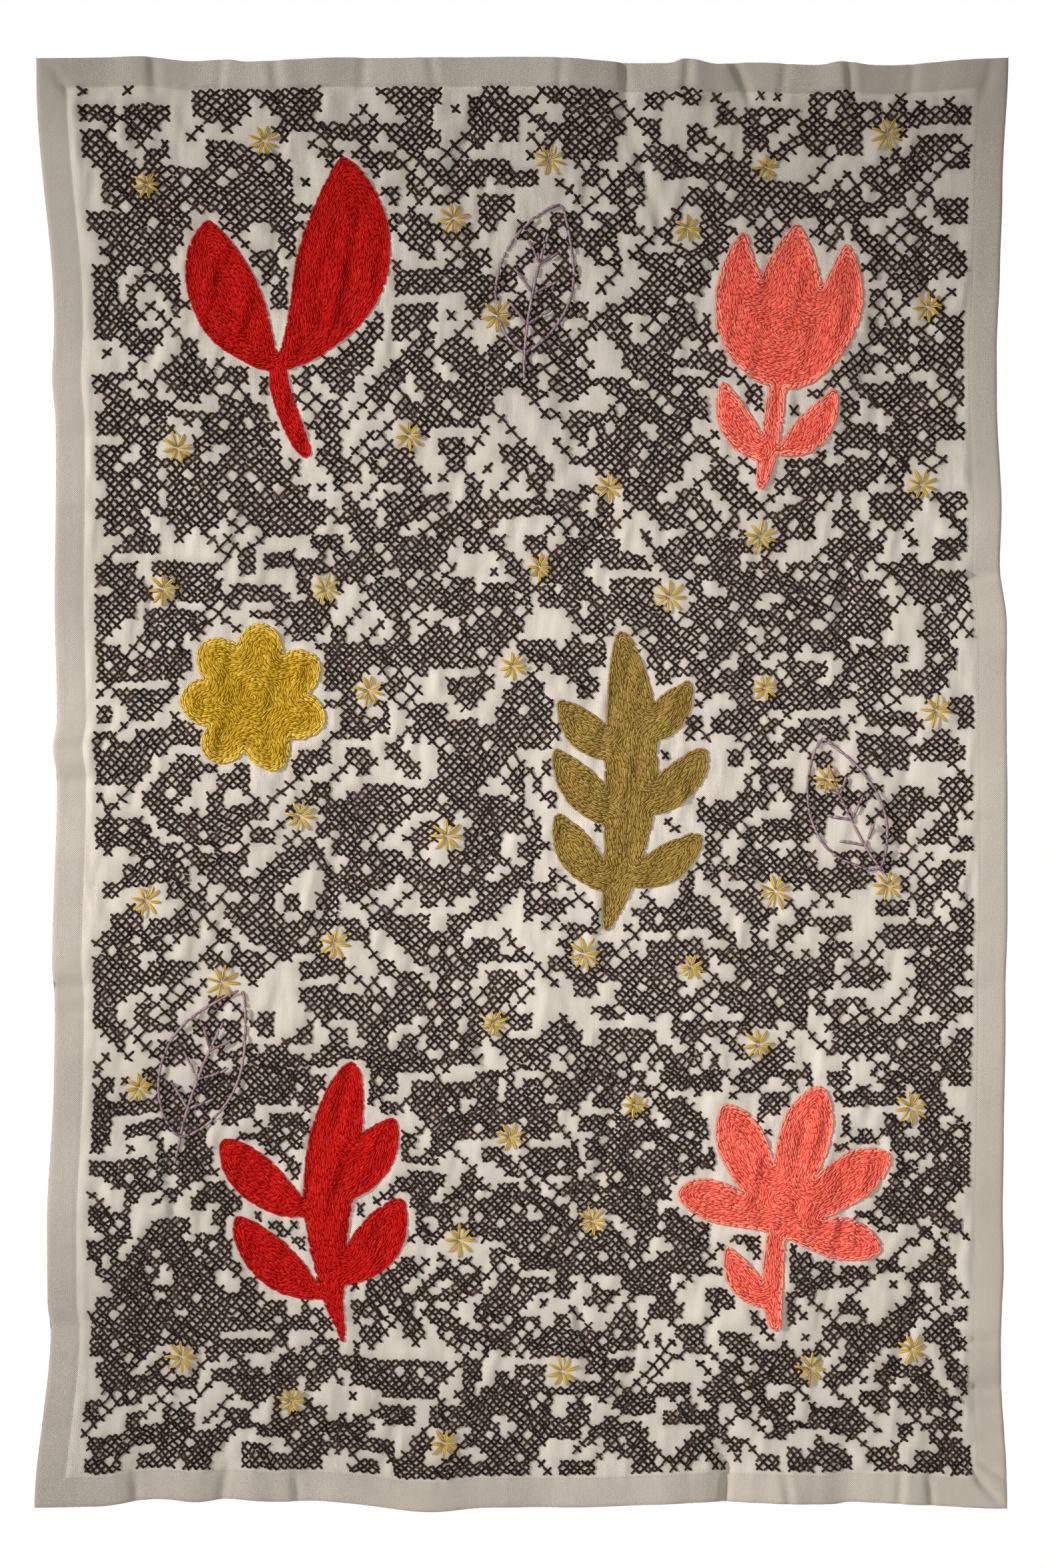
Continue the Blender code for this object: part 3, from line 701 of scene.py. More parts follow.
@dataclass(frozen=True)
class YarnFinish:
    """A dyed wool yarn: its shade, its body colour and its lightest strands."""

    name: str
    deep: Colour
    body: Colour
    pale: Colour
    slot: str | None = None
    sheen: float = 0.12
    tone_spread: float = 0.4
    relief_strength: float = 0.6
    relief_depth: float = 0.0006

    def material(self) -> bpy.types.Material:
        """The yarn's material, made once."""
        found = bpy.data.materials.get(self.name)
        if found:
            return found
        made, nodes, shader = new_material(self.name, {
            "Sheen Weight": self.sheen,
            "Sheen Roughness": 0.5,
            "Sheen Tint": self.pale,
            "Specular IOR Level": 0.12,
        })
        tone = nodes.add("ShaderNodeAttribute", attribute_name="tone")
        fibre = nodes.add("ShaderNodeGroup", node_tree=fibre_group())
        spread = nodes.maths("MULTIPLY_ADD", fibre.outputs["Shade"], self.tone_spread, -self.tone_spread / 2)
        lightness = nodes.maths("ADD", tone.outputs["Fac"], spread)
        colour = nodes.ramp(lightness, [(0.0, self.deep), (Tone.BODY.value, self.body), (1.0, self.pale)])
        nodes.join(colour, shader.inputs["Base Color"])
        rough = nodes.maths("MULTIPLY_ADD", fibre.outputs["Shade"], 0.2, 0.75)
        nodes.join(rough, shader.inputs["Roughness"])
        nodes.roughen(shader, fibre.outputs["Height"], self.relief_strength, self.relief_depth)
        return made


@dataclass(frozen=True)
class TwillFinish:
    """The off-white twill cloth, a little greyer where its tone is low: cloudy at random, and painted shade
    in the hem and among the crosses. The weave's shade is painted shade in its hollows.
    """

    name: str = "cloth_twill"
    light: Colour = linear(243, 232, 219)
    grey: Colour = linear(158, 147, 133)
    rib: float = 0.0019
    soil_spread: float = 0.35
    weave_share: float = 0.70
    tone_share: float = 0.40
    first_stop: float = 0.35
    crease_scale: tuple[float, float, float] = (105.0, 105.0, 24.0)
    crease_lean: float = 7.0
    weave_relief: float = 0.22
    relief_strength: float = 0.8
    relief_depth: float = 0.0034

    def material(self) -> bpy.types.Material:
        """The cloth's material, made once."""
        found = bpy.data.materials.get(self.name)
        if found:
            return found
        made, nodes, shader = new_material(self.name, {"Sheen Weight": 0.12, "Specular IOR Level": 0.2})
        place = nodes.add("ShaderNodeTexCoord").outputs["Object"]
        weave = nodes.add("ShaderNodeGroup", node_tree=weave_group())
        weave.inputs["Rib"].default_value = self.rib
        tone = nodes.add("ShaderNodeAttribute", attribute_name="tone")
        cloudy = nodes.noise(place, scale=9.0, detail=3.0)
        soil = nodes.maths("MULTIPLY_ADD", cloudy.outputs[0], self.soil_spread, -self.soil_spread / 2)
        share = nodes.maths("MULTIPLY", nodes.maths("ADD", tone.outputs["Fac"], soil), self.tone_share)
        # Painted shade from the weave's hollows, and from the tone in the hem and among the crosses, darkens
        # the colour here.
        shade = nodes.maths("MULTIPLY_ADD", weave.outputs["Shade"], self.weave_share, share)
        colour = nodes.ramp(shade, [(self.first_stop, self.grey), (1.0, self.light)])
        nodes.join(colour, shader.inputs["Base Color"])
        rough = nodes.maths("MULTIPLY_ADD", weave.outputs["Height"], -0.1, 0.95)
        nodes.join(rough, shader.inputs["Roughness"])
        lean = (0.0, math.radians(self.crease_lean), 0.0)
        stretch = nodes.add("ShaderNodeMapping", {"Scale": self.crease_scale, "Rotation": lean})
        nodes.join(place, stretch.inputs["Vector"])
        creases = nodes.noise(stretch.outputs[0], scale=1.0, detail=2.0)
        slack = nodes.add("ShaderNodeAttribute", attribute_name="slack")
        crease = nodes.maths("MULTIPLY", creases.outputs[0], slack.outputs["Fac"])
        height = nodes.maths("MULTIPLY_ADD", weave.outputs["Height"], self.weave_relief, crease)
        nodes.roughen(shader, height, self.relief_strength, self.relief_depth)
        return made


RED = YarnFinish("yarn_red", linear(158, 7, 4), linear(192, 18, 13), linear(220, 52, 41), "red_yarn", 0.04)
CORAL = YarnFinish(
    "yarn_coral", linear(210, 74, 58), linear(242, 104, 86), linear(252, 158, 134), "coral_yarn"
)
OLIVE = YarnFinish(
    "yarn_olive", linear(118, 92, 35), linear(152, 124, 59), linear(186, 158, 92), "olive_yarn"
)
MUSTARD = YarnFinish(
    "yarn_mustard", linear(152, 114, 10), linear(190, 150, 32), linear(228, 196, 92), "mustard_yarn"
)
BROWN = YarnFinish("yarn_brown", linear(24, 15, 12), linear(50, 35, 30), linear(92, 69, 60), sheen=0.0)
MAUVE = YarnFinish("yarn_mauve", linear(92, 70, 78), linear(146, 120, 128), linear(180, 158, 164))
THREAD = YarnFinish("thread_off_white", linear(168, 160, 148), linear(206, 200, 190), linear(226, 222, 214))


def dress(piece: bpy.types.Object, material: bpy.types.Material) -> bpy.types.Object:
    """Gives a piece its material, and logs how many triangles it has."""
    piece.data.materials.append(material)
    LOG.info("%s: %d triangles", piece.name, len(piece.data.polygons))
    return piece


@dataclass
class Motif:
    """A filled motif: where it lies on the flat cloth, and the petals that make it up."""

    node: str
    finish: YarnFinish
    across: float
    drop: float
    turn: float
    size: float
    petals: list[Petal]
    pale_rows: int = 0
    cell: float = 0.0015
    margin: float = 0.030
    lines_across: np.ndarray = field(init=False)
    lines_drop: np.ndarray = field(init=False)
    depth: np.ndarray = field(init=False)
    boundary: np.ndarray = field(init=False)

    def __post_init__(self) -> None:
        """Works out the motif's boundary, and the depth inside it on a fine net."""
        outlines = [self.outline(petal) for petal in self.petals]
        dense = [spaced(np.vstack([o, o[:1]]), self.cell)[:-1] for o in outlines]
        kept = []
        for i, places in enumerate(dense):
            covered = np.zeros(len(places), bool)
            for j, other in enumerate(outlines):
                if i != j:
                    covered |= within(other, places)
            kept.append(places[~covered])
        self.boundary = np.concatenate(kept)
        low, high = self.boundary.min(axis=0) - self.margin, self.boundary.max(axis=0) + self.margin
        self.lines_across = np.arange(low[0], high[0], self.cell)
        self.lines_drop = np.arange(low[1], high[1], self.cell)
        net = np.stack(np.meshgrid(self.lines_across, self.lines_drop), axis=2).reshape(-1, 2)
        inside = np.zeros(len(net), bool)
        for outline in outlines:
            inside |= within(outline, net)
        gap = np.full(len(net), np.inf)
        for chunk in np.array_split(self.boundary, max(1, len(self.boundary) // 60)):
            gap = np.minimum(gap, ((net[:, None, :] - chunk[None]) ** 2).sum(axis=2).min(axis=1))
        gap = np.sqrt(gap)
        shape = (len(self.lines_drop), len(self.lines_across))
        self.depth = np.where(inside, gap, -gap).reshape(shape)

    def outline(self, petal: Petal, steps: int = 40) -> np.ndarray:
        """The outline of one petal as flat places, from its root round its tip and back."""
        skew = math.log(0.5) / math.log(petal.widest)
        turn = math.radians(self.turn)
        start = np.array([
            self.across + self.size * (petal.side * math.cos(turn) + petal.up * math.sin(turn)),
            self.drop + self.size * (petal.side * math.sin(turn) - petal.up * math.cos(turn)),
        ])
        share = np.arange(steps + 1) / steps
        middle = np.radians(self.turn + petal.heading + petal.bend * (share[1:] - 0.5 / steps))
        move = np.stack([np.sin(middle), -np.cos(middle)], axis=1) * self.size * petal.length / steps
        spine = start + np.vstack([[0.0, 0.0], np.cumsum(move, axis=0)])
        heading = np.radians(self.turn + petal.heading + petal.bend * share)
        half = self.size * petal.half_width * np.sin(math.pi * np.minimum(share**skew, 1.0)) ** petal.fullness
        sideways = np.stack([np.cos(heading), np.sin(heading)], axis=1) * half[:, None]
        return np.vstack([spine + sideways, (spine - sideways)[-2:0:-1]])

    def depth_at(self, across: np.ndarray, drop: np.ndarray) -> np.ndarray:
        """How deep flat places lie inside the motif, and negative outside it."""
        u = (across - self.lines_across[0]) / self.cell
        v = (drop - self.lines_drop[0]) / self.cell
        i, j = np.floor(u).astype(int), np.floor(v).astype(int)
        rows, columns = self.depth.shape
        near = (i >= 0) & (j >= 0) & (i < columns - 1) & (j < rows - 1)
        i, j = np.where(near, i, 0), np.where(near, j, 0)
        u, v = u - i, v - j
        low = self.depth[j, i] * (1 - u) + self.depth[j, i + 1] * u
        high = self.depth[j + 1, i] * (1 - u) + self.depth[j + 1, i + 1] * u
        return np.where(near, low * (1 - v) + high * v, -1.0)

    def level_lines(self, level: float) -> list[np.ndarray]:
        """The closed lines that lie that deep inside the motif, each as flat places."""
        return level_lines(self.lines_across, self.lines_drop, self.depth - level)


def within(outline: np.ndarray, places: np.ndarray) -> np.ndarray:
    """Which flat places lie inside a closed outline."""
    inside = np.zeros(len(places), bool)
    x, y = places[:, 0], places[:, 1]
    for (ax, ay), (bx, by) in zip(outline, np.roll(outline, -1, axis=0)):
        if ay != by:
            inside ^= ((ay > y) != (by > y)) & (x < (bx - ax) * (y - ay) / (by - ay) + ax)
    return inside


def level_lines(xs: np.ndarray, ys: np.ndarray, values: np.ndarray) -> list[np.ndarray]:
    """Follows the lines where values on a net pass through zero.

    Args:
        xs: The net's columns.
        ys: The net's rows.
        values: One value at each crossing, rows first.

    Returns:
        Closed lines as arrays of places, whose last place repeats the first.
    """
    above = values > 0
    crossings: dict[tuple, np.ndarray] = {}

    def cut(j: int, i: int, down: bool) -> tuple:
        """The name of the crossing on one side of a cell, which is worked out once."""
        name = (j, i, down)
        if name not in crossings:
            m, n = (j + 1, i) if down else (j, i + 1)
            share = values[j, i] / (values[j, i] - values[m, n])
            crossings[name] = np.array([xs[i] + (xs[n] - xs[i]) * share, ys[j] + (ys[m] - ys[j]) * share])
        return name

    links: dict[tuple, list[tuple]] = {}
    mixed = (above[:-1, :-1] != above[1:, 1:]) | (above[:-1, 1:] != above[1:, :-1])
    mixed |= above[:-1, :-1] != above[:-1, 1:]
    for j, i in zip(*np.nonzero(mixed)):
        ends = []
        if above[j, i] != above[j, i + 1]:
            ends.append(cut(j, i, False))
        if above[j, i + 1] != above[j + 1, i + 1]:
            ends.append(cut(j, i + 1, True))
        if above[j + 1, i] != above[j + 1, i + 1]:
            ends.append(cut(j + 1, i, False))
        if above[j, i] != above[j + 1, i]:
            ends.append(cut(j, i, True))
        for first, second in zip(ends[::2], ends[1::2]):
            links.setdefault(first, []).append(second)
            links.setdefault(second, []).append(first)
    lines = []
    while links:
        start = next(iter(links))
        line, here = [start], start
        while links.get(here):
            following = links[here].pop()
            links[following].remove(here)
            if not links[here]:
                del links[here]
            here = following
            line.append(here)
        links.pop(here, None)
        lines.append(np.array([crossings[name] for name in line]))
    return lines


class PatchForm(Enum):
    """The forms of the patches of cross stitch."""

    POINTED = "pointed"
    LEFT_POINTED = "left pointed"
    RIGHT_POINTED = "right pointed"
    LEAN_LEFT = "leaning left"
    LEAN_RIGHT = "leaning right"
    DIAMOND = "diamond"


@dataclass(frozen=True)
class Patch:
    """One patch of cross stitch on the flat cloth."""

    form: PatchForm
    left: float
    top: float
    width: float
    height: float
    moat: bool

    def holds(self, across: np.ndarray, drop: np.ndarray) -> np.ndarray:
        """Which flat places lie in the patch."""
        u, v = across - self.left, drop - self.top
        tall = (v >= 0) & (v < self.height)
        if self.form is PatchForm.POINTED:
            narrowing = v * 0.5 * self.width / self.height
            return tall & (u >= narrowing) & (u < self.width - narrowing)
        if self.form is PatchForm.LEFT_POINTED:
            return tall & (u >= 0) & (u < self.width - v * self.width / self.height)
        if self.form is PatchForm.RIGHT_POINTED:
            return tall & (u >= v * self.width / self.height) & (u < self.width)
        if self.form is PatchForm.LEAN_LEFT:
            return tall & (u >= -v) & (u < self.width - v)
        if self.form is PatchForm.LEAN_RIGHT:
            return tall & (u >= v) & (u < self.width + v)
        half = self.height / 2
        return tall & (np.abs(u - self.width / 2) < self.width / 2 * (1 - np.abs(v - half) / half))


@dataclass
class Band:
    """A band of the ground worked with crosses of one size, in yarn of one half width."""

    name: str
    top: float
    bottom: float
    pitch: float
    half_width: float = 0.00126
    left: float = -0.458
    right: float = 0.464
    mask: np.ndarray = field(init=False)

    def __post_init__(self) -> None:
        """Counts the band's cells."""
        shape = (round((self.bottom - self.top) / self.pitch), round((self.right - self.left) / self.pitch))
        self.mask = np.zeros(shape, bool)

    def step(self) -> tuple[float, float]:
        """The width and height of a cell."""
        rows, columns = self.mask.shape
        return (self.right - self.left) / columns, (self.bottom - self.top) / rows

    def middles(self) -> tuple[np.ndarray, np.ndarray]:
        """The flat places of the cells' middles."""
        wide, tall = self.step()
        rows, columns = self.mask.shape
        return np.meshgrid(
            self.left + (np.arange(columns) + 0.5) * wide, self.top + (np.arange(rows) + 0.5) * tall
        )


def neighbours(mask: np.ndarray) -> np.ndarray:
    """How many of the eight cells round each cell are set."""
    padded = np.pad(mask, 1).astype(int)
    rows, columns = mask.shape
    total = -mask.astype(int)
    for j in range(3):
        for i in range(3):
            total += padded[j : j + rows, i : i + columns]
    return total


@dataclass
class Ground:
    """The ground of brown crosses: patches, the diagonal runs that link them, and lone crosses."""

    seed: int = 5
    top: float = 0.020
    foot: float = 1.47
    runs: int = 900
    run_crosses: tuple[int, int] = (3, 9)
    patch_crosses: tuple[int, int] = (5, 11)
    leaning_crosses: tuple[tuple[int, int], tuple[int, int]] = ((3, 6), (5, 10))
    diamond_crosses: tuple[int, int] = (5, 9)
    patch_heights: tuple[float, float] = (0.6, 0.95)
    cell_at_top: float = 0.0088
    cell_loss: float = 0.0022
    hole_share: float = 0.08
    lone_share: float = 0.06
    moat_share: float = 0.34
    form_odds: tuple[float, ...] = (0.20, 0.17, 0.17, 0.17, 0.17, 0.12)
    across_step: float = 0.69
    drop_step: float = 3.4
    closing: float = 0.27
    bands: list[Band] = field(default_factory=lambda: [
        Band("top", 0.030, 0.495, 0.0093, 0.00137),
        Band("middle", 0.495, 1.048, 0.0085),
        Band("bottom", 1.048, 1.466, 0.0076),
    ])

    def __post_init__(self) -> None:
        """Lays out the crosses of every band."""
        rng = np.random.default_rng(self.seed)
        left, right = self.bands[0].left, self.bands[0].right
        patches = self._patches(rng, left, right)
        lines = [
            (
                rng.uniform(left, right),
                rng.uniform(self.top, self.foot),
                rng.choice([-1, 1]),
                rng.integers(*self.run_crosses),
            )
            for _ in range(self.runs)
        ]
        for band in self.bands:
            self._fill(band, patches, lines, rng)

    def _patches(self, rng: np.random.Generator, left: float, right: float) -> list[Patch]:
        """Rows of patches, smaller and closer towards the foot of the cloth."""
        forms = list(PatchForm)
        patches, drop = [], self.top
        while drop < self.foot:
            share = drop / 1.5
            cell = self.cell_at_top - self.cell_loss * share
            across = left - 0.04 + rng.uniform(0, 0.07)
            while across < right:
                form = forms[rng.choice(len(forms), p=self.form_odds)]
                width = cell * rng.integers(*self.patch_crosses)
                height = width * rng.uniform(*self.patch_heights)
                if form in (PatchForm.LEAN_LEFT, PatchForm.LEAN_RIGHT):
                    width, height = (cell * rng.integers(*counts) for counts in self.leaning_crosses)
                elif form is PatchForm.POINTED:
                    height = width / 2
                elif form is PatchForm.DIAMOND:
                    width = height = cell * rng.integers(*self.diamond_crosses)
                top = drop + cell * rng.integers(-3, 4)
                patches.append(Patch(form, across, top, width, height, rng.random() < self.moat_share))
                across += width * (self.across_step - self.closing * share) + cell * rng.integers(0, 3)
            drop += cell * (self.drop_step - 5.0 * self.closing * share)
        return patches

    def _fill(self, band: Band, patches: list[Patch], lines: list[tuple], rng: np.random.Generator) -> None:
        """Marks which cells of one band hold a cross."""
        across, drop = band.middles()
        wide, tall = band.step()
        for patch in patches:
            area = patch.holds(across, drop)
            if patch.moat and area.any():
                band.mask &= neighbours(area) == 0
            band.mask |= area
        for _ in range(2):
            band.mask &= neighbours(band.mask) >= 3
            band.mask |= neighbours(band.mask) >= 7
        for x, y, way, count in lines:
            offset = across - x - way * (drop - y)
            band.mask |= (np.abs(offset) < wide / 2) & (drop >= y) & (drop < y + count * tall)
        band.mask &= ~((neighbours(band.mask) == 8) & (rng.random(band.mask.shape) < self.hole_share))
        alone = (neighbours(band.mask) == 0) & ~band.mask
        band.mask |= alone & (rng.random(band.mask.shape) < self.lone_share)

    def clear(self, keep_off: list[tuple[float, float, float]], motifs: list[Motif], gap: float) -> None:
        """Takes out the crosses that would lie under other stitching.

        Args:
            keep_off: Discs to leave bare, as across, drop and radius.
            motifs: Filled motifs.
            gap: How far from a motif a cross's middle stays.
        """
        for band in self.bands:
            across, drop = band.middles()
            for x, y, radius in keep_off:
                band.mask &= np.hypot(across - x, drop - y) > radius
            for motif in motifs:
                band.mask &= motif.depth_at(across, drop) < -gap

    def covered(self, across: np.ndarray, drop: np.ndarray) -> np.ndarray:
        """1 at flat places that lie on a cross, and 0 on bare cloth."""
        result = np.zeros(across.shape)
        for band in self.bands:
            wide, tall = band.step()
            i = np.floor((across - band.left) / wide).astype(int)
            j = np.floor((drop - band.top) / tall).astype(int)
            rows, columns = band.mask.shape
            near = (i >= 0) & (i < columns) & (j >= 0) & (j < rows)
            result += near * band.mask[np.clip(j, 0, rows - 1), np.clip(i, 0, columns - 1)]
        return result


@dataclass
class CrossStitching:
    """The brown crosses on the face, and the straight bars behind them.

    The rows of a leg are its stations: how far along it each lies, and how high above the cloth.
    """

    drape: Drape
    ground: Ground
    finish: YarnFinish = BROWN
    half_height: float = 0.00090
    reach: float = 1.09
    unevenness: float = 0.00060
    stray: float = 0.00055
    wander: float = 0.0034
    wander_scales: tuple[float, float] = (0.085, 0.03)
    bow: float = 0.045
    lower_leg: tuple[tuple[float, float], ...] = (
        (0.0, -0.0007), (0.10, 0.0006), (0.90, 0.0006), (1.0, -0.0007)
    )
    upper_leg: tuple[tuple[float, float], ...] = (
        (0.0, -0.0007), (0.10, 0.0007), (0.5, 0.0020), (0.90, 0.0007), (1.0, -0.0007)
    )
    width_range: tuple[float, float] = (0.86, 1.14)
    seed: int = 11

    def build(self) -> list[bpy.types.Object]:
        """Works every band, and returns the pieces that go with the cloth."""
        rng = np.random.default_rng(self.seed)
        made = [self._band(band, rng) for band in self.ground.bands]
        made.append(self._behind(rng))
        return made

    def _corners(self, band: Band, rng: np.random.Generator) -> tuple[np.ndarray, np.ndarray]:
        """The holes at the cells' corners, which wander as hand work does."""
        wide, tall = band.step()
        rows, columns = band.mask.shape
        across, drop = np.meshgrid(
            band.left + np.arange(columns + 1) * wide, band.top + np.arange(rows + 1) * tall
        )
        broad, fine = self.wander_scales
        shift_across, shift_drop = (
            value_noise(seed, across / broad, drop / broad)
            + 0.55 * value_noise(seed + 1, across / fine, drop / fine)
            for seed in (3, 5)
        )
        ease_across = smooth((across - band.left) / 0.03) * smooth((band.right - across) / 0.03)
        ease_drop = smooth((drop - band.top) / 0.02) * smooth((band.bottom - drop) / 0.02)
        across = across + self.wander * shift_across * (0.3 + 0.7 * ease_across)
        drop = drop + self.wander * shift_drop * ease_drop
        uneven_across = rng.normal(0, self.unevenness, across.shape)
        uneven_drop = rng.normal(0, self.unevenness, drop.shape)
        return across + uneven_across, drop + uneven_drop

    def _band(self, band: Band, rng: np.random.Generator) -> bpy.types.Object:
        """The crosses of one band: a lower leg that climbs to the right, and a leg over it."""
        across, drop = self._corners(band, rng)
        j, i = np.nonzero(band.mask)
        batch = YarnBatch()
        base = np.clip(rng.normal(Tone.BODY.value, 0.10, len(i)), 0.1, 0.8)
        legs = ((self.lower_leg, (j + 1, i), (j, i + 1)), (self.upper_leg, (j, i), (j + 1, i + 1)))
        for stations, first, second in legs:
            start = np.stack([across[first], drop[first]], axis=1)
            end = np.stack([across[second], drop[second]], axis=1)
            middle = (start + end) / 2
            reach = rng.uniform(self.reach - 0.05, self.reach + 0.07, (len(i), 1))
            start, end = middle + (start - middle) * reach, middle + (end - middle) * reach
            start = start + rng.normal(0, self.stray, start.shape)
            end = end + rng.normal(0, self.stray, end.shape)
            way = end - start
            bow = np.stack([way[:, 1], -way[:, 0]], axis=1) * rng.normal(0, self.bow, (len(i), 1))
            paths = np.empty((len(i), len(stations), 3))
            for k, (share, lift) in enumerate(stations):
                paths[:, k, :2] = start + way * share + bow * math.sin(math.pi * share)
                paths[:, k, 2] = lift
            thickness = rng.uniform(*self.width_range, (len(i), 1))
            widths = band.half_width * thickness * np.ones(len(stations) - 2)
            batch.add(paths, widths, self.half_height, base + rng.normal(0, 0.07, len(i)))
        piece = batch.made(f"ground_crosses_{band.name}", self.drape)
        return dress(piece, self.finish.material())

    def _behind(self, rng: np.random.Generator) -> bpy.types.Object:
        """The upright bars that the crosses leave on the cloth's back."""
        batch = YarnBatch()
        for band in self.ground.bands:
            across, drop = self._corners(band, rng)
            sides = np.pad(band.mask, ((0, 0), (0, 1))) | np.pad(band.mask, ((0, 0), (1, 0)))
            j, i = np.nonzero(sides)
            paths = np.empty((len(i), 3, 3))
            for k, (share, lift) in enumerate([(0.0, -0.0008), (0.5, -0.0019), (1.0, -0.0008)]):
                paths[:, k, 0] = across[j, i] + (across[j + 1, i] - across[j, i]) * share
                paths[:, k, 1] = drop[j, i] + (drop[j + 1, i] - drop[j, i]) * share
                paths[:, k, 2] = lift
            tones = np.clip(rng.normal(Tone.BODY.value, 0.12, len(i)), 0.1, 0.8)
            batch.add(paths, np.array([band.half_width]), self.half_height, tones, back=True)
        return dress(batch.made("ground_bars_behind", self.drape), self.finish.material())


def crossed(ground: Ground, paths: np.ndarray) -> np.ndarray:
    """1 for each path that passes over a cross of the ground, and 0 for one on bare cloth."""
    return ground.covered(paths[..., 0], paths[..., 1]).max(axis=1)


@dataclass
class ToneSource:
    """Draws the tones of strands round one middle."""

    rng: np.random.Generator
    middle: float
    spread: float = 0.13

    def draw(self, count: int) -> np.ndarray:
        """That many tones."""
        return np.clip(self.rng.normal(self.middle, self.spread, count), 0.02, 0.98)


@dataclass
class StemWork:
    """How a line of stem stitch is made: slanting strands that each start beside the one before."""

    length: float = 0.0084
    step: float = 0.0055
    slant: float = 0.00050
    half_width: float = 0.00122
    half_height: float = 0.00068
    lift: float = 0.0010
    stray: float = 0.00030

    def work(
        self, batch: YarnBatch, line: np.ndarray, tones: ToneSource, base: float, ground: Ground | None = None
    ) -> None:
        """Adds one line of stem stitch to a batch.

        Args:
            batch: The strands so far.
            line: Flat places along the line. It is closed where its last place repeats its first.
            tones: Gives each strand its tone, and the unevenness of its place.
            base: How far what lies under the strands stands out of the cloth.
            ground: The crosses, where they are what lies under the strands.
        """
        along = arc_lengths(line)
        whole = along[-1]
        closed = np.allclose(line[0], line[-1])
        count = max(1, round((whole if closed else whole - self.length) / self.step))
        starts = np.arange(count) * (whole if closed else whole - self.length) / count
        if closed:
            starts = starts + tones.rng.uniform(0, self.step)
        starts = starts + tones.rng.normal(0, 0.12 * self.step, count)
        length = self.length * tones.rng.uniform(0.74, 1.20, count)
        sideways = tones.rng.normal(0, self.stray, count)
        slant = self.slant + tones.rng.normal(0, self.stray, count)
        lift = self.lift * tones.rng.uniform(0.75, 1.25, count)
        paths = np.empty((count, 5, 3))
        stations = [(0.0, -0.4), (0.2, 0.75), (0.5, 1.0), (0.8, 0.75), (1.0, -0.4)]
        for k, (share, up) in enumerate(stations):
            place = starts + share * length
            here, ahead = self._at(line, along, place, closed), self._at(line, along, place + 0.0006, closed)
            way = ahead - self._at(line, along, place - 0.0006, closed)
            way /= np.linalg.norm(way, axis=1, keepdims=True) + 1e-9
            out = sideways + slant * (2 * share - 1)
            paths[:, k, :2] = here + np.stack([way[:, 1], -way[:, 0]], axis=1) * out[:, None]
            paths[:, k, 2] = up * lift
        paths[:, :, 2] += base if ground is None else base * crossed(ground, paths)[:, None]
        widths = self.half_width * np.array([0.92, 1.0, 0.92])
        batch.add(paths, widths, self.half_height, tones.draw(count))

    def _at(self, line: np.ndarray, along: np.ndarray, place: np.ndarray, closed: bool) -> np.ndarray:
        """The flat places at those distances along a line."""
        place = place % along[-1] if closed else np.clip(place, 0.0, along[-1])
        return np.stack([np.interp(place, along, line[:, k]) for k in range(2)], axis=1)


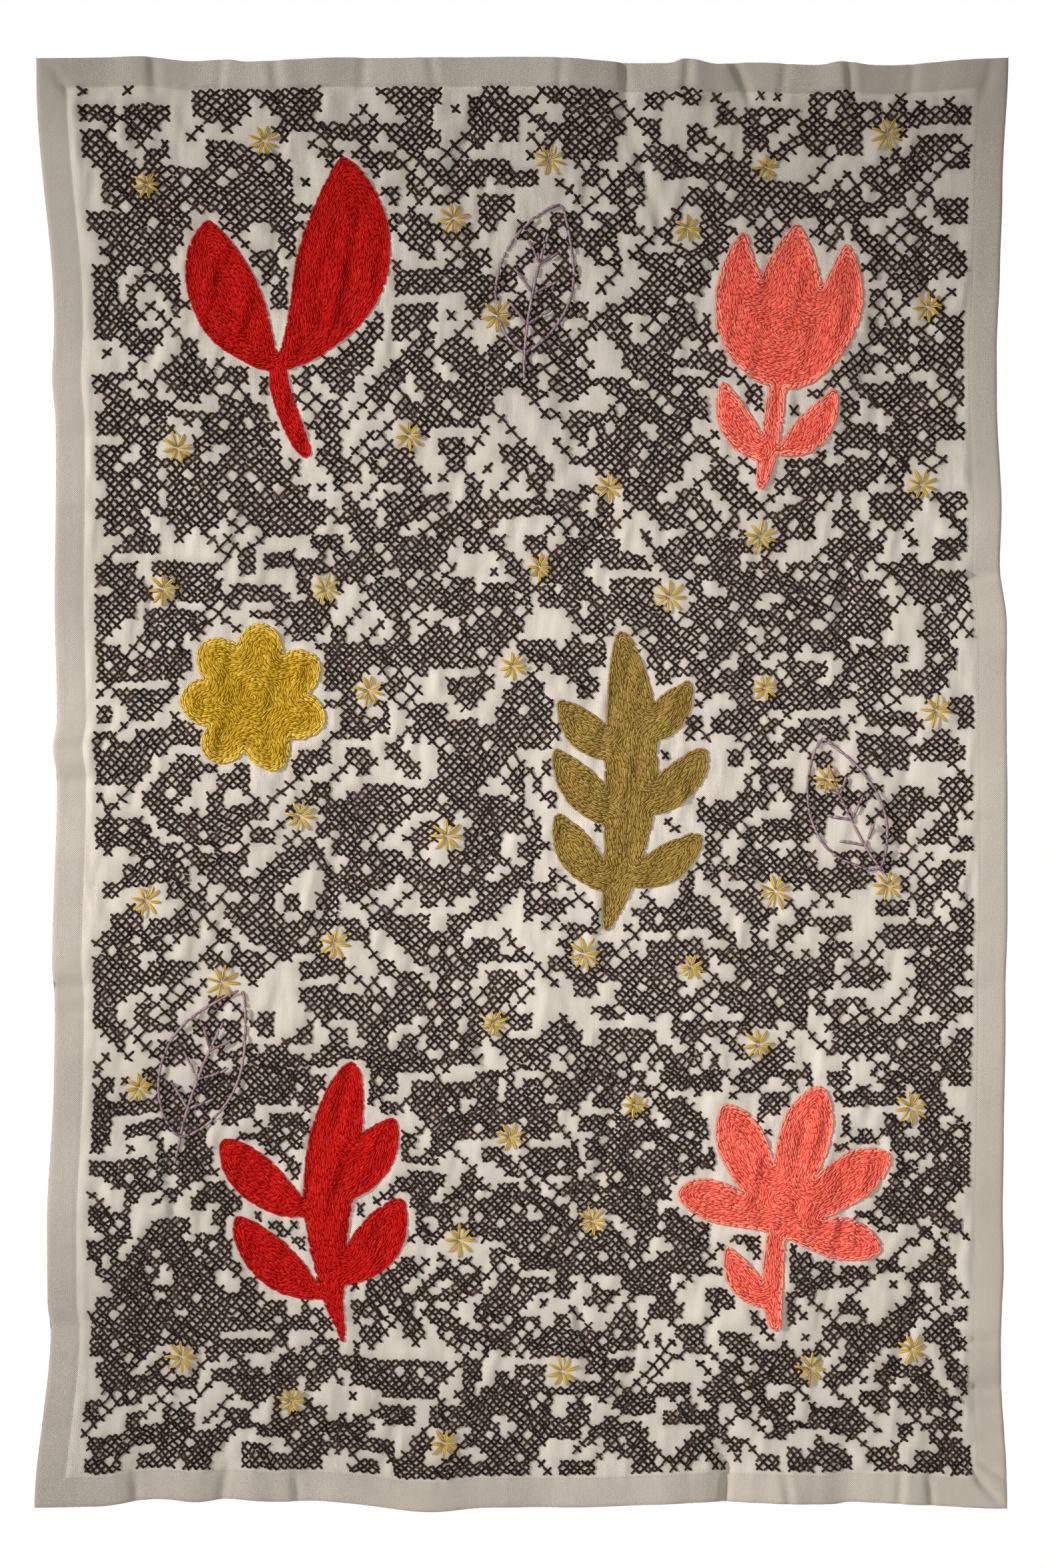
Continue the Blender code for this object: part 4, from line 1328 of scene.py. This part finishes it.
@dataclass
class FilledMotif:
    """A motif filled with rows of stem stitch that follow its outline, over a bed of the same yarn."""

    drape: Drape
    motif: Motif
    seed: int
    row: float = 0.00195
    first_row: float = 0.0009
    bed_height: float = 0.0011
    bed_cell: float = 0.0065
    bed_inset: float = 0.0012
    widest_gap: float = 0.0014
    fillers_apart: float = 0.0026
    back_stitch: float = 0.0075
    back_half_width: float = 0.0013
    stem: StemWork = field(default_factory=StemWork)

    def build(self) -> list[bpy.types.Object]:
        """Works the motif, and returns its pieces."""
        name = self.motif.node.removeprefix("motif_")
        rng = np.random.default_rng(self.seed)
        batch = YarnBatch()
        rows = self._rows()
        for number, line in rows:
            middle = Tone.PALE.value - 0.12 if number < self.motif.pale_rows else Tone.BODY.value
            self.stem.work(batch, line, ToneSource(rng, middle + rng.normal(0, 0.03), 0.12), self.bed_height)
        self._fill_gaps(batch, [line for _, line in rows], ToneSource(rng, Tone.BODY.value))
        stitches = batch.made(f"stem_{name}", self.drape)
        dress(stitches, self.motif.finish.material())
        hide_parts(self.motif.node)
        bed = self._bed(f"bed_{name}")
        behind = self._behind(f"back_{name}", [line for number, line in rows if number % 2], rng)
        return [stitches, bed, behind]

    def _rows(self) -> list[tuple[int, np.ndarray]]:
        """The lines that the rows follow, each with its number counted from the outline."""
        deepest = self.motif.depth.max()
        rows = []
        for number in range(int((deepest - self.first_row) / self.row) + 1):
            for line in self.motif.level_lines(self.first_row + number * self.row):
                if arc_lengths(line)[-1] > 1.2 * self.stem.length:
                    rows.append((number, softened(line)))
        return rows

    def _fill_gaps(self, batch: YarnBatch, lines: list[np.ndarray], tones: ToneSource) -> None:
        """Adds single stitches where the rows leave more than a strand's width bare."""
        worked = np.concatenate([line[:-1] for line in lines])
        headings = np.concatenate([np.diff(line, axis=0) for line in lines])
        j, i = np.nonzero(self.motif.depth > self.first_row)
        places = np.stack([self.motif.lines_across[i], self.motif.lines_drop[j]], axis=1)
        near = np.empty(len(places), int)
        gaps = np.empty(len(places))
        for part in np.array_split(np.arange(len(places)), max(1, len(places) // 400)):
            squares = ((places[part, None, :] - worked[None]) ** 2).sum(axis=2)
            near[part] = squares.argmin(axis=1)
            gaps[part] = squares.min(axis=1)
        middles, ways = [], []
        wide = gaps > self.widest_gap**2
        for place, nearest in zip(places[wide], near[wide]):
            if middles and ((np.array(middles) - place) ** 2).sum(axis=1).min() < self.fillers_apart**2:
                continue
            middles.append(place)
            ways.append(headings[nearest] / (np.linalg.norm(headings[nearest]) + TINY))
        if not middles:
            return
        paths = np.empty((len(middles), 5, 3))
        for k, (share, up) in enumerate([(-1, -0.4), (-0.6, 0.6), (0, 0.9), (0.6, 0.6), (1, -0.4)]):
            paths[:, k, :2] = np.array(middles) + np.array(ways) * share * self.stem.length * 0.42
            paths[:, k, 2] = self.bed_height + up * self.stem.lift
        batch.add(paths, np.full(3, self.stem.half_width), self.stem.half_height, tones.draw(len(middles)))

    def _bed(self, name: str) -> bpy.types.Object:
        """The low bed of yarn under the rows, a little inside the outline. It is darker than the rows:
        painted shade in the gaps between them.
        """
        lines = [spaced(line, 0.004)[:-1] for line in self.motif.level_lines(self.bed_inset)]
        lines = [line for line in lines if len(line) > 6]
        places = [place for line in lines for place in line]
        loops, first = [], 0
        for line in lines:
            loops.append(list(range(first, first + len(line))))
            first += len(line)
        across = np.arange(self.motif.lines_across[0], self.motif.lines_across[-1], self.bed_cell)
        drop = np.arange(self.motif.lines_drop[0], self.motif.lines_drop[-1], self.bed_cell)
        net = np.stack(np.meshgrid(across, drop), axis=2).reshape(-1, 2)
        deep = self.motif.depth_at(net[:, 0], net[:, 1]) > self.bed_inset + 0.45 * self.bed_cell
        places += list(net[deep])
        edges = [(a, b) for loop in loops for a, b in zip(loop, loop[1:] + loop[:1])]
        points, _, faces, _, _, _ = delaunay_2d_cdt([tuple(p) for p in places], edges, [], 0, 1e-6)
        flat = np.array([tuple(p) for p in points])
        faces = np.array(faces)
        centres = flat[faces].mean(axis=1)
        faces = faces[self.motif.depth_at(centres[:, 0], centres[:, 1]) > 0.0010]
        used, faces = np.unique(faces, return_inverse=True)
        flat, faces = flat[used], faces.reshape(-1, 3)
        count = len(flat)
        sides = {(a, b) for face in faces.tolist() for a, b in zip(face, face[1:] + face[:1])}
        rim = np.array(sorted((a, b) for a, b in sides if (b, a) not in sides))
        walls = np.concatenate([
            np.column_stack([rim[:, 1], rim[:, 0], rim[:, 0] + count]),
            np.column_stack([rim[:, 1], rim[:, 0] + count, rim[:, 1] + count]),
        ])
        rise = np.full(count, self.bed_height)
        rise[rim.ravel()] = self.bed_height * 0.4
        top = np.column_stack([flat, rise])
        foot = np.column_stack([flat, np.full(count, 0.0001)])
        points_hung = self.drape.hung(np.vstack([top, foot]))
        solid = np.concatenate([faces, faces[:, ::-1] + count, walls])
        # The bed's lower tone is painted shade, seen in the gaps between the rows.
        piece = mesh_object(name, points_hung, solid, np.full(2 * count, Tone.BODY.value - 0.15))
        return dress(piece, self.motif.finish.material())

    def _behind(self, name: str, lines: list[np.ndarray], rng: np.random.Generator) -> bpy.types.Object:
        """The single straight stitches that the rows leave on the cloth's back."""
        batch = YarnBatch()
        source = ToneSource(rng, Tone.BODY.value)
        for line in lines:
            places = spaced(line, self.back_stitch)
            if len(places) < 2:
                continue
            paths = np.empty((len(places) - 1, 3, 3))
            for k, (share, lift) in enumerate([(0.04, -0.0008), (0.5, -0.0019), (0.96, -0.0008)]):
                paths[:, k, :2] = places[:-1] + np.diff(places, axis=0) * share
                paths[:, k, 2] = lift
            batch.add(paths, np.array([self.back_half_width]), 0.0008, source.draw(len(paths)), back=True)
        piece = batch.made(name, self.drape)
        return dress(piece, self.motif.finish.material())


@dataclass
class Daisies:
    """Small flowers of detached chain loops, scattered where no large motif lies.

    The rows of loop give stations along one side of a petal: how far out along it, how far aside, how
    high, and how much of the height of a cross under it is added.
    """

    drape: Drape
    motifs: list[Motif]
    seeds: tuple[int, int] = (23, 29)
    tries: int = 6000
    area: tuple[tuple[float, float], tuple[float, float]] = ((-0.42, 0.43), (0.055, 1.44))
    sizes: tuple[float, float] = (0.82, 1.12)
    wanted: int = 46
    petals: int = 8
    radius: float = 0.0172
    apart: float = 0.105
    clearance: float = 0.030
    bare_share: float = 0.80
    yarn_half_widths: tuple[float, float, float] = (0.0007, 0.0008, 0.0007)
    yarn_half_height: float = 0.0007
    loop_half_width: float = 0.0009
    loop_height: float = 0.0014
    over_ground: float = 0.0018
    loop: tuple[tuple[float, float, float, float], ...] = (
        (0.06, 0.1, 0.6, 0.2), (0.30, 0.7, 1.1, 0.6), (0.60, 1.0, 1.3, 1.0), (0.88, 0.6, 1.0, 1.0),
        (1.0, 0.0, 0.1, 0.8),
    )
    middles: list[tuple[float, float, float]] = field(default_factory=list)

    def __post_init__(self) -> None:
        """Chooses where the daisies lie."""
        rng = np.random.default_rng(self.seeds[0])
        for _ in range(self.tries):
            across, drop = (rng.uniform(*limits) for limits in self.area)
            size = self.radius * rng.uniform(*self.sizes)
            if any(math.hypot(across - a, drop - d) < self.apart for a, d, _ in self.middles):
                continue
            here = np.array([across]), np.array([drop])
            if max(motif.depth_at(*here)[0] for motif in self.motifs) > -self.clearance:
                continue
            self.middles.append((across, drop, size))
            if len(self.middles) == self.wanted:
                break

    def discs(self) -> list[tuple[float, float, float]]:
        """The bare discs that the daisies need. Their petals' ends lie over the crosses round them."""
        return [(a, d, self.bare_share * size) for a, d, size in self.middles]

    def build(self, ground: Ground) -> list[bpy.types.Object]:
        """Works the daisies, and returns their piece."""
        rng = np.random.default_rng(self.seeds[1])
        batch = YarnBatch()
        tones = ToneSource(rng, Tone.PALE.value - 0.15, 0.12)
        for across, drop, size in self.middles:
            turn = rng.uniform(0, 2 * math.pi)
            for k in range(self.petals):
                angle = turn + 2 * math.pi * k / self.petals + rng.normal(0, 0.06)
                way = np.array([math.sin(angle), -math.cos(angle)])
                sideways = np.array([way[1], -way[0]])
                reach = size * rng.uniform(0.88, 1.08)
                for hand in (-1.0, 1.0):
                    path = np.empty((1, len(self.loop), 3))
                    for n, (share, out, up, _) in enumerate(self.loop):
                        aside = sideways * hand * out * self.loop_half_width
                        path[0, n, :2] = [across, drop] + way * reach * share + aside
                        path[0, n, 2] = up * self.loop_height
                    over = np.array([row[3] for row in self.loop])
                    path[0, :, 2] += self.over_ground * crossed(ground, path)[0] * over
                    batch.add(path, np.array(self.yarn_half_widths), self.yarn_half_height, tones.draw(1))
        return [dress(batch.made("daisies", self.drape), MUSTARD.material())]


@dataclass
class DrawnLeaves:
    """Leaves drawn over the ground in lines of stem stitch: an outline, a midrib and side veins each."""

    drape: Drape
    ground: Ground
    stem: StemWork = field(default_factory=lambda: StemWork(
        length=0.0096, step=0.0062, half_width=0.00150, half_height=0.0011, lift=0.0014, stray=0.0001
    ))
    leaves: tuple[tuple[float, float, float, float], ...] = (
        (0.000, 0.306, 14.0, 0.160),
        (0.366, 0.838, -24.0, 0.150),
        (-0.364, 1.122, 22.0, 0.165),
    )
    bend: float = 26.0
    half_share: float = 0.25
    stalk_share: float = 0.18
    vein_shares: tuple[float, ...] = (0.18, 0.38, 0.58)
    seed: int = 31
    over_ground: float = 0.0024
    steps: int = 60

    def build(self) -> list[bpy.types.Object]:
        """Works the leaves, and returns their piece."""
        rng = np.random.default_rng(self.seed)
        batch = YarnBatch()
        for across, drop, turn, size in self.leaves:
            for line in self._lines(np.array([across, drop]), turn, size):
                tones = ToneSource(rng, Tone.BODY.value + 0.1, 0.14)
                self.stem.work(batch, line, tones, self.over_ground, self.ground)
        return [dress(batch.made("drawn_leaves", self.drape), MAUVE.material())]

    def _lines(self, root: np.ndarray, turn: float, size: float) -> list[np.ndarray]:
        """The lines of one drawn leaf, each as flat places.

        Args:
            root: Where the blade of the leaf starts.
            turn: The leaf's heading in degrees, from straight up.
            size: The length of its blade.

        Returns:
            The outline, which is closed, then the midrib with its stalk, and the side veins.
        """
        share = np.linspace(0.0, 1.0, self.steps + 1)
        heading = np.radians(turn + self.bend * (share - 0.5))
        way = np.stack([np.sin(heading), -np.cos(heading)], axis=1)
        sideways = np.stack([np.cos(heading), np.sin(heading)], axis=1)
        spine = root + size / self.steps * np.vstack([[0.0, 0.0], np.cumsum(way[1:], axis=0)])
        half = size * self.half_share * np.sin(math.pi * share**0.85) ** 0.8
        right, left = spine + sideways * half[:, None], spine - sideways * half[:, None]
        lines = [softened(np.vstack([right, left[-2::-1]]), passes=1)]
        lines.append(np.vstack([root - way[0] * size * self.stalk_share, spine[: round(0.84 * self.steps)]]))
        for vein in self.vein_shares:
            low, high = round(vein * self.steps), round((vein + 0.15) * self.steps)
            for hand in (-1.0, 1.0):
                tip = spine[high] + hand * sideways[high] * half[high] * 0.74
                lines.append(spaced(np.array([spine[low], tip]), 0.0016))
        return lines


@dataclass
class HemStitching:
    """The line of small stitches that holds the hem, and the slip stitches of its mitres behind."""

    drape: Drape
    inset: float = 0.0298
    pitch: float = 0.0034
    length: float = 0.0021
    half_width: float = 0.00032
    half_height: float = 0.00025
    stray: float = 0.00018
    lift: float = 0.00035
    mitre_pitch: float = 0.0048
    mitre_length: float = 0.0026
    mitre_lift: float = -0.0030
    seed: int = 37

    def build(self) -> list[bpy.types.Object]:
        """Works the hem line, and returns its piece."""
        rng = np.random.default_rng(self.seed)
        wide, tall = self.drape.width / 2 - self.inset, self.drape.height
        foot = tall - self.inset
        corners = [(-wide, self.inset), (wide, self.inset), (wide, foot), (-wide, foot)]
        batch = YarnBatch()
        for first, second in zip(corners, corners[1:] + corners[:1]):
            places = spaced(np.array([first, second]), self.pitch)[:-1]
            way = (np.array(second) - np.array(first)) / np.linalg.norm(np.array(second) - np.array(first))
            places = places + np.array([way[1], -way[0]]) * rng.normal(0, self.stray, (len(places), 1))
            self._run(batch, places, way, self.length, self.lift, rng)
        for across, drop in ((-1, 0), (1, 0), (1, 1), (-1, 1)):
            outer = np.array([across * self.drape.width / 2, drop * tall])
            inner = np.array([across * wide, self.inset + drop * (tall - 2 * self.inset)])
            places = spaced(np.array([outer * 0.94 + inner * 0.06, inner]), self.mitre_pitch)
            way = (inner - outer) / np.linalg.norm(inner - outer)
            across_way = np.array([way[1], -way[0]])
            self._run(batch, places, across_way, self.mitre_length, self.mitre_lift, rng)
        return [dress(batch.made("hem_stitches", self.drape), THREAD.material())]

    def _run(
        self, batch: YarnBatch, places: np.ndarray, way: np.ndarray, length: float, lift: float,
        rng: np.random.Generator,
    ) -> None:
        """Adds a row of single small stitches.

        Args:
            batch: The strands so far.
            places: Where each stitch's middle lies.
            way: The direction of every stitch.
            length: How long a stitch shows.
            lift: How far its middle stands out of the cloth's face.
            rng: Draws the tones.
        """
        paths = np.empty((len(places), 3, 3))
        for k, share in enumerate((-0.5, 0.0, 0.5)):
            paths[:, k, :2] = places + way * share * length
            paths[:, k, 2] = lift - 0.0004 * abs(share) * 2 * (1 if lift > 0 else -1)
        tones = ToneSource(rng, 0.6).draw(len(places))
        batch.add(paths, np.array([self.half_width]), self.half_height, tones)


@dataclass
class Cloth:
    """The twill cloth with its hem turned to the back, as one closed mesh on the drape's net."""

    drape: Drape
    ground: Ground
    motifs: list[Motif]
    thickness: float = 0.0010
    hem_thickness: float = 0.0027
    edge_round: float = 0.0003
    worked_reach: float = 0.0036
    bare_rise: float = 0.0007
    wave_height: float = 0.0032
    ray_height: float = 0.0014
    motif_sink: float = 0.0008
    hem_pucker: float = 0.0006
    hem_groove: float = 0.0006
    broad_waves: float = 0.0006
    hem_shade_tone: float = 0.38
    shade_among_crosses: float = 0.40
    least_slack: float = 0.25
    worked: np.ndarray = field(init=False)

    def pucker(self) -> None:
        """Adds to the drape what the stitching does to the cloth."""
        across, drop = self.drape.net()
        inset = self.drape.inset(across, drop)
        inner = smooth((inset - 0.030) / 0.010)
        near = self.worked_reach
        worked = sum(
            self.ground.covered(across + i * near, drop + j * near) for i in (-1, 0, 1) for j in (-1, 0, 1)
        ) / 9
        self.worked = worked
        bare = (1.0 - worked) * inner
        slanted = across + 0.22 * drop
        waves = 0.65 * value_noise(41, slanted / 0.0105, drop / 0.045)
        waves += 0.35 * value_noise(42, (across - 0.5 * drop) / 0.014, drop / 0.034)
        self.drape.relief += self.bare_rise * bare + (0.15 * inner + 0.85 * bare) * self.wave_height * waves
        depth = np.full(across.shape, -1.0)
        for motif in self.motifs:
            depth = np.maximum(depth, motif.depth_at(across, drop))
        round_motif = np.exp(-(((depth + 0.009) / 0.008) ** 2))
        rays = value_noise(43, across / 0.0085, drop / 0.012)
        self.drape.relief += self.ray_height * round_motif * (0.4 + rays)
        self.drape.relief -= self.motif_sink * smooth((depth + 0.003) / 0.006)
        beside_hem = np.exp(-(((inset - self.drape.hem) / 0.012) ** 2))
        along = np.where(inset == self.drape.width / 2 - np.abs(across), drop, across)
        self.drape.relief += self.hem_pucker * beside_hem * value_noise(44, along / 0.0075, inset / 0.03)
        self.drape.relief -= self.hem_groove * np.exp(-(((inset - 0.0298) / 0.0017) ** 2))
        self.drape.relief += self.broad_waves * value_noise(45, across / 0.05, drop / 0.07)

    def build(self) -> bpy.types.Object:
        across, drop = self.drape.net()
        rows, columns = across.shape
        inset = self.drape.inset(across, drop)
        thick = self.thickness + (self.hem_thickness - self.thickness) * (inset < self.drape.hem + 0.0005)
        edge = inset < self.drape.hem_lines[0] + 0.0002
        front = np.stack([across, drop, np.where(edge, -self.edge_round, 0.0)], axis=2)
        back = np.stack([across, drop, -thick + np.where(edge, self.edge_round, 0.0)], axis=2)[::2, ::2]
        ring = [(0, i) for i in range(columns)] + [(j, columns - 1) for j in range(1, rows)]
        ring += [(rows - 1, i) for i in range(columns - 2, -1, -1)] + [(j, 0) for j in range(rows - 2, 0, -1)]
        rim = np.array([self._rim_place(across[j, i], drop[j, i]) for j, i in ring])
        flat = np.concatenate([front.reshape(-1, 3), back.reshape(-1, 3), rim])
        net = np.arange(rows * columns).reshape(rows, columns)
        net_behind = net.size + np.arange(back[..., 0].size).reshape(back.shape[:2])
        first_rim = net.size + net_behind.size
        rim_numbers = first_rim + np.arange(len(ring))
        front_ring = np.array([net[j, i] for j, i in ring])
        behind_ring = np.array([net_behind[j // 2, i // 2] for j, i in ring[::2]])
        walls = self._band_between(front_ring, rim_numbers)
        walls += self._band_between(rim_numbers[::2], behind_ring)
        walls += list(np.column_stack([rim_numbers[1::2], np.roll(rim_numbers[::2], -1), rim_numbers[::2]]))
        cloudy = 0.90 + 0.10 * value_noise(51, across / 0.11, drop / 0.13)
        # The hem is made darker: painted shade along the cloth's edges.
        tones = cloudy - self.hem_shade_tone * (inset < self.drape.hem)
        # Cloth among the crosses is darker too: painted shade under and between the stitches.
        tones -= self.shade_among_crosses * self.worked
        all_tones = np.concatenate([tones.ravel(), tones[::2, ::2].ravel() - 0.08, np.full(len(ring), 0.5)])
        faces = [self._triangles(net), self._triangles(net_behind)[:, ::-1], np.array(walls)]
        points = self.drape.hung(flat)
        piece = mesh_object("cloth_twill_sheet", points, np.concatenate(faces), all_tones, folded_map=True)
        least = self.least_slack
        slack = np.clip(1.0 - self.worked, 0.0, 1.0) * smooth((inset - 0.028) / 0.012) * (1.0 - least) + least
        all_slack = np.concatenate([slack.ravel(), slack[::2, ::2].ravel(), np.full(len(ring), least)])
        made = piece.data.attributes.new("slack", "FLOAT", "POINT")
        made.data.foreach_set("value", all_slack.astype(np.float32))
        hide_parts("cloth")
        return dress(piece, TwillFinish().material())

    def _band_between(self, upper: np.ndarray, lower: np.ndarray) -> list[np.ndarray]:
        """The triangles between two rings of as many points."""
        after_upper, after_lower = np.roll(upper, -1), np.roll(lower, -1)
        return list(np.concatenate([
            np.column_stack([upper, after_upper, after_lower]), np.column_stack([upper, after_lower, lower])
        ]))

    def _rim_place(self, across: float, drop: float) -> tuple[float, float, float]:
        """The place on the folded edge that lies outside a place on the net's border."""
        wide, tall, step = self.drape.width / 2, self.drape.height, self.drape.hem_lines[0] * 1.01
        across = math.copysign(wide, across) if wide - abs(across) <= step else across
        drop = 0.0 if drop <= step else tall if tall - drop <= step else drop
        return across, drop, -self.hem_thickness / 2

    def _triangles(self, net: np.ndarray) -> np.ndarray:
        """The triangles of a net of point numbers."""
        a, b, c, d = (corner.ravel() for corner in (net[:-1, :-1], net[1:, :-1], net[1:, 1:], net[:-1, 1:]))
        return np.concatenate([np.column_stack([a, b, c]), np.column_stack([a, c, d])])


@dataclass
class Studio:
    """The plain pale floor, the soft lights and the camera."""

    middle: tuple[float, float] = (0.0007, -0.7524)
    frame_height: float = 1.622
    lens: float = 100.0
    long_side: float = 36.0
    aim_below: float = 0.10
    ambient: float = 0.20

    def build(self) -> None:
        """Sets up everything round the hanging."""
        self._camera()
        self._floor()
        self._light("key", (-9.7, -5.6, 3.2), radius=0.70, power=8500.0, cone=12.6)
        self._light("fill", (0.9, -3.1, -0.85), radius=0.60, power=200.0, cone=45.0)
        self._light("behind", (0.9, 2.6, 0.0), radius=0.60, power=400.0, cone=55.0)
        self._world()
        bpy.context.scene.view_settings.view_transform = "Standard"

    def _camera(self) -> None:
        """A long lens, square on to the cloth."""
        data = bpy.data.cameras.new("camera")
        data.lens = self.lens
        data.sensor_width = self.long_side
        camera = bpy.data.objects.new("camera", data)
        bpy.context.scene.collection.objects.link(camera)
        away = self.frame_height * self.lens / self.long_side
        camera.location = (self.middle[0], -away, self.middle[1])
        camera.rotation_euler = (math.radians(90.0), 0.0, 0.0)
        bpy.context.scene.camera = camera

    def _floor(self) -> None:
        """A pale floor below the hanging, out of the main view."""
        bpy.ops.mesh.primitive_plane_add(size=1.0, location=(0.0, -0.1, -1.80))
        floor = bpy.context.object
        floor.name = "floor"
        floor.scale = (3.0, 1.7, 1.0)
        pale = {"Base Color": (0.78, 0.77, 0.75, 1.0), "Roughness": 0.9}
        floor.data.materials.append(new_material("floor_pale", pale)[0])

    def _light(
        self, name: str, place: tuple[float, float, float], radius: float, power: float, cone: float
    ) -> None:
        """A lamp with a soft-edged cone, aimed at the hanging's middle, so that its corners are darker."""
        data = bpy.data.lights.new(name, "SPOT")
        data.shadow_soft_size = radius
        data.spot_size = math.radians(cone)
        data.spot_blend = 1.0
        data.energy = power
        light = bpy.data.objects.new(name, data)
        bpy.context.scene.collection.objects.link(light)
        light.location = place
        aim = np.array([0.0, 0.0, self.middle[1] - self.aim_below]) - np.array(place)
        flat = math.hypot(aim[0], aim[1])
        light.rotation_euler = (math.atan2(flat, -aim[2]), 0.0, math.atan2(aim[1], aim[0]) - math.pi / 2)

    def _world(self) -> None:
        """White where the camera sees it, and dimmer as a light."""
        world = bpy.data.worlds.new("studio_world")
        world.use_nodes = True
        bpy.context.scene.world = world
        nodes = Nodes(world.node_tree)
        backdrop = world.node_tree.nodes["Background"]
        backdrop.inputs["Color"].default_value = (1.0, 1.0, 1.0, 1.0)
        path = nodes.add("ShaderNodeLightPath")
        seen = path.outputs["Is Camera Ray"]
        strength = nodes.maths("MULTIPLY_ADD", seen, 1.0 - self.ambient, self.ambient)
        nodes.join(strength, backdrop.inputs["Strength"])


def main() -> None:
    """Builds the hanging and its studio in order."""
    logging.basicConfig(level=logging.INFO, format="%(name)s: %(message)s")
    Studio().build()
    motifs = [
        Motif("motif_red_sprout", RED, -0.262, 0.322, 2.0, 0.92, SPROUT),
        Motif("motif_coral_tulip", CORAL, 0.268, 0.336, 6.0, 0.86, TULIP, pale_rows=3),
        Motif("motif_mustard_rosette", MUSTARD, -0.292, 0.664, 0.0, 0.92, ROSETTE, pale_rows=3),
        Motif("motif_olive_fern", OLIVE, 0.078, 0.905, 16.0, 0.95, FERN),
        Motif("motif_red_sprig", RED, -0.190, 1.340, -14.0, 0.90, SPRIG),
        Motif("motif_coral_palmette", CORAL, 0.262, 1.218, 16.0, 0.94, PALMETTE, pale_rows=2),
    ]
    drape = Drape()
    daisies = Daisies(drape, motifs)
    ground = Ground()
    ground.clear(daisies.discs(), motifs, 0.0062)
    cloth = Cloth(drape, ground, motifs)
    cloth.pucker()
    sheet = cloth.build()
    on_cloth = CrossStitching(drape, ground).build()
    for seed, motif in enumerate(motifs, 61):
        on_cloth += FilledMotif(drape, motif, seed).build()
    on_cloth += daisies.build(ground)
    on_cloth += DrawnLeaves(drape, ground).build()
    on_cloth += HemStitching(drape).build()


if __name__ == "__main__":
    main()
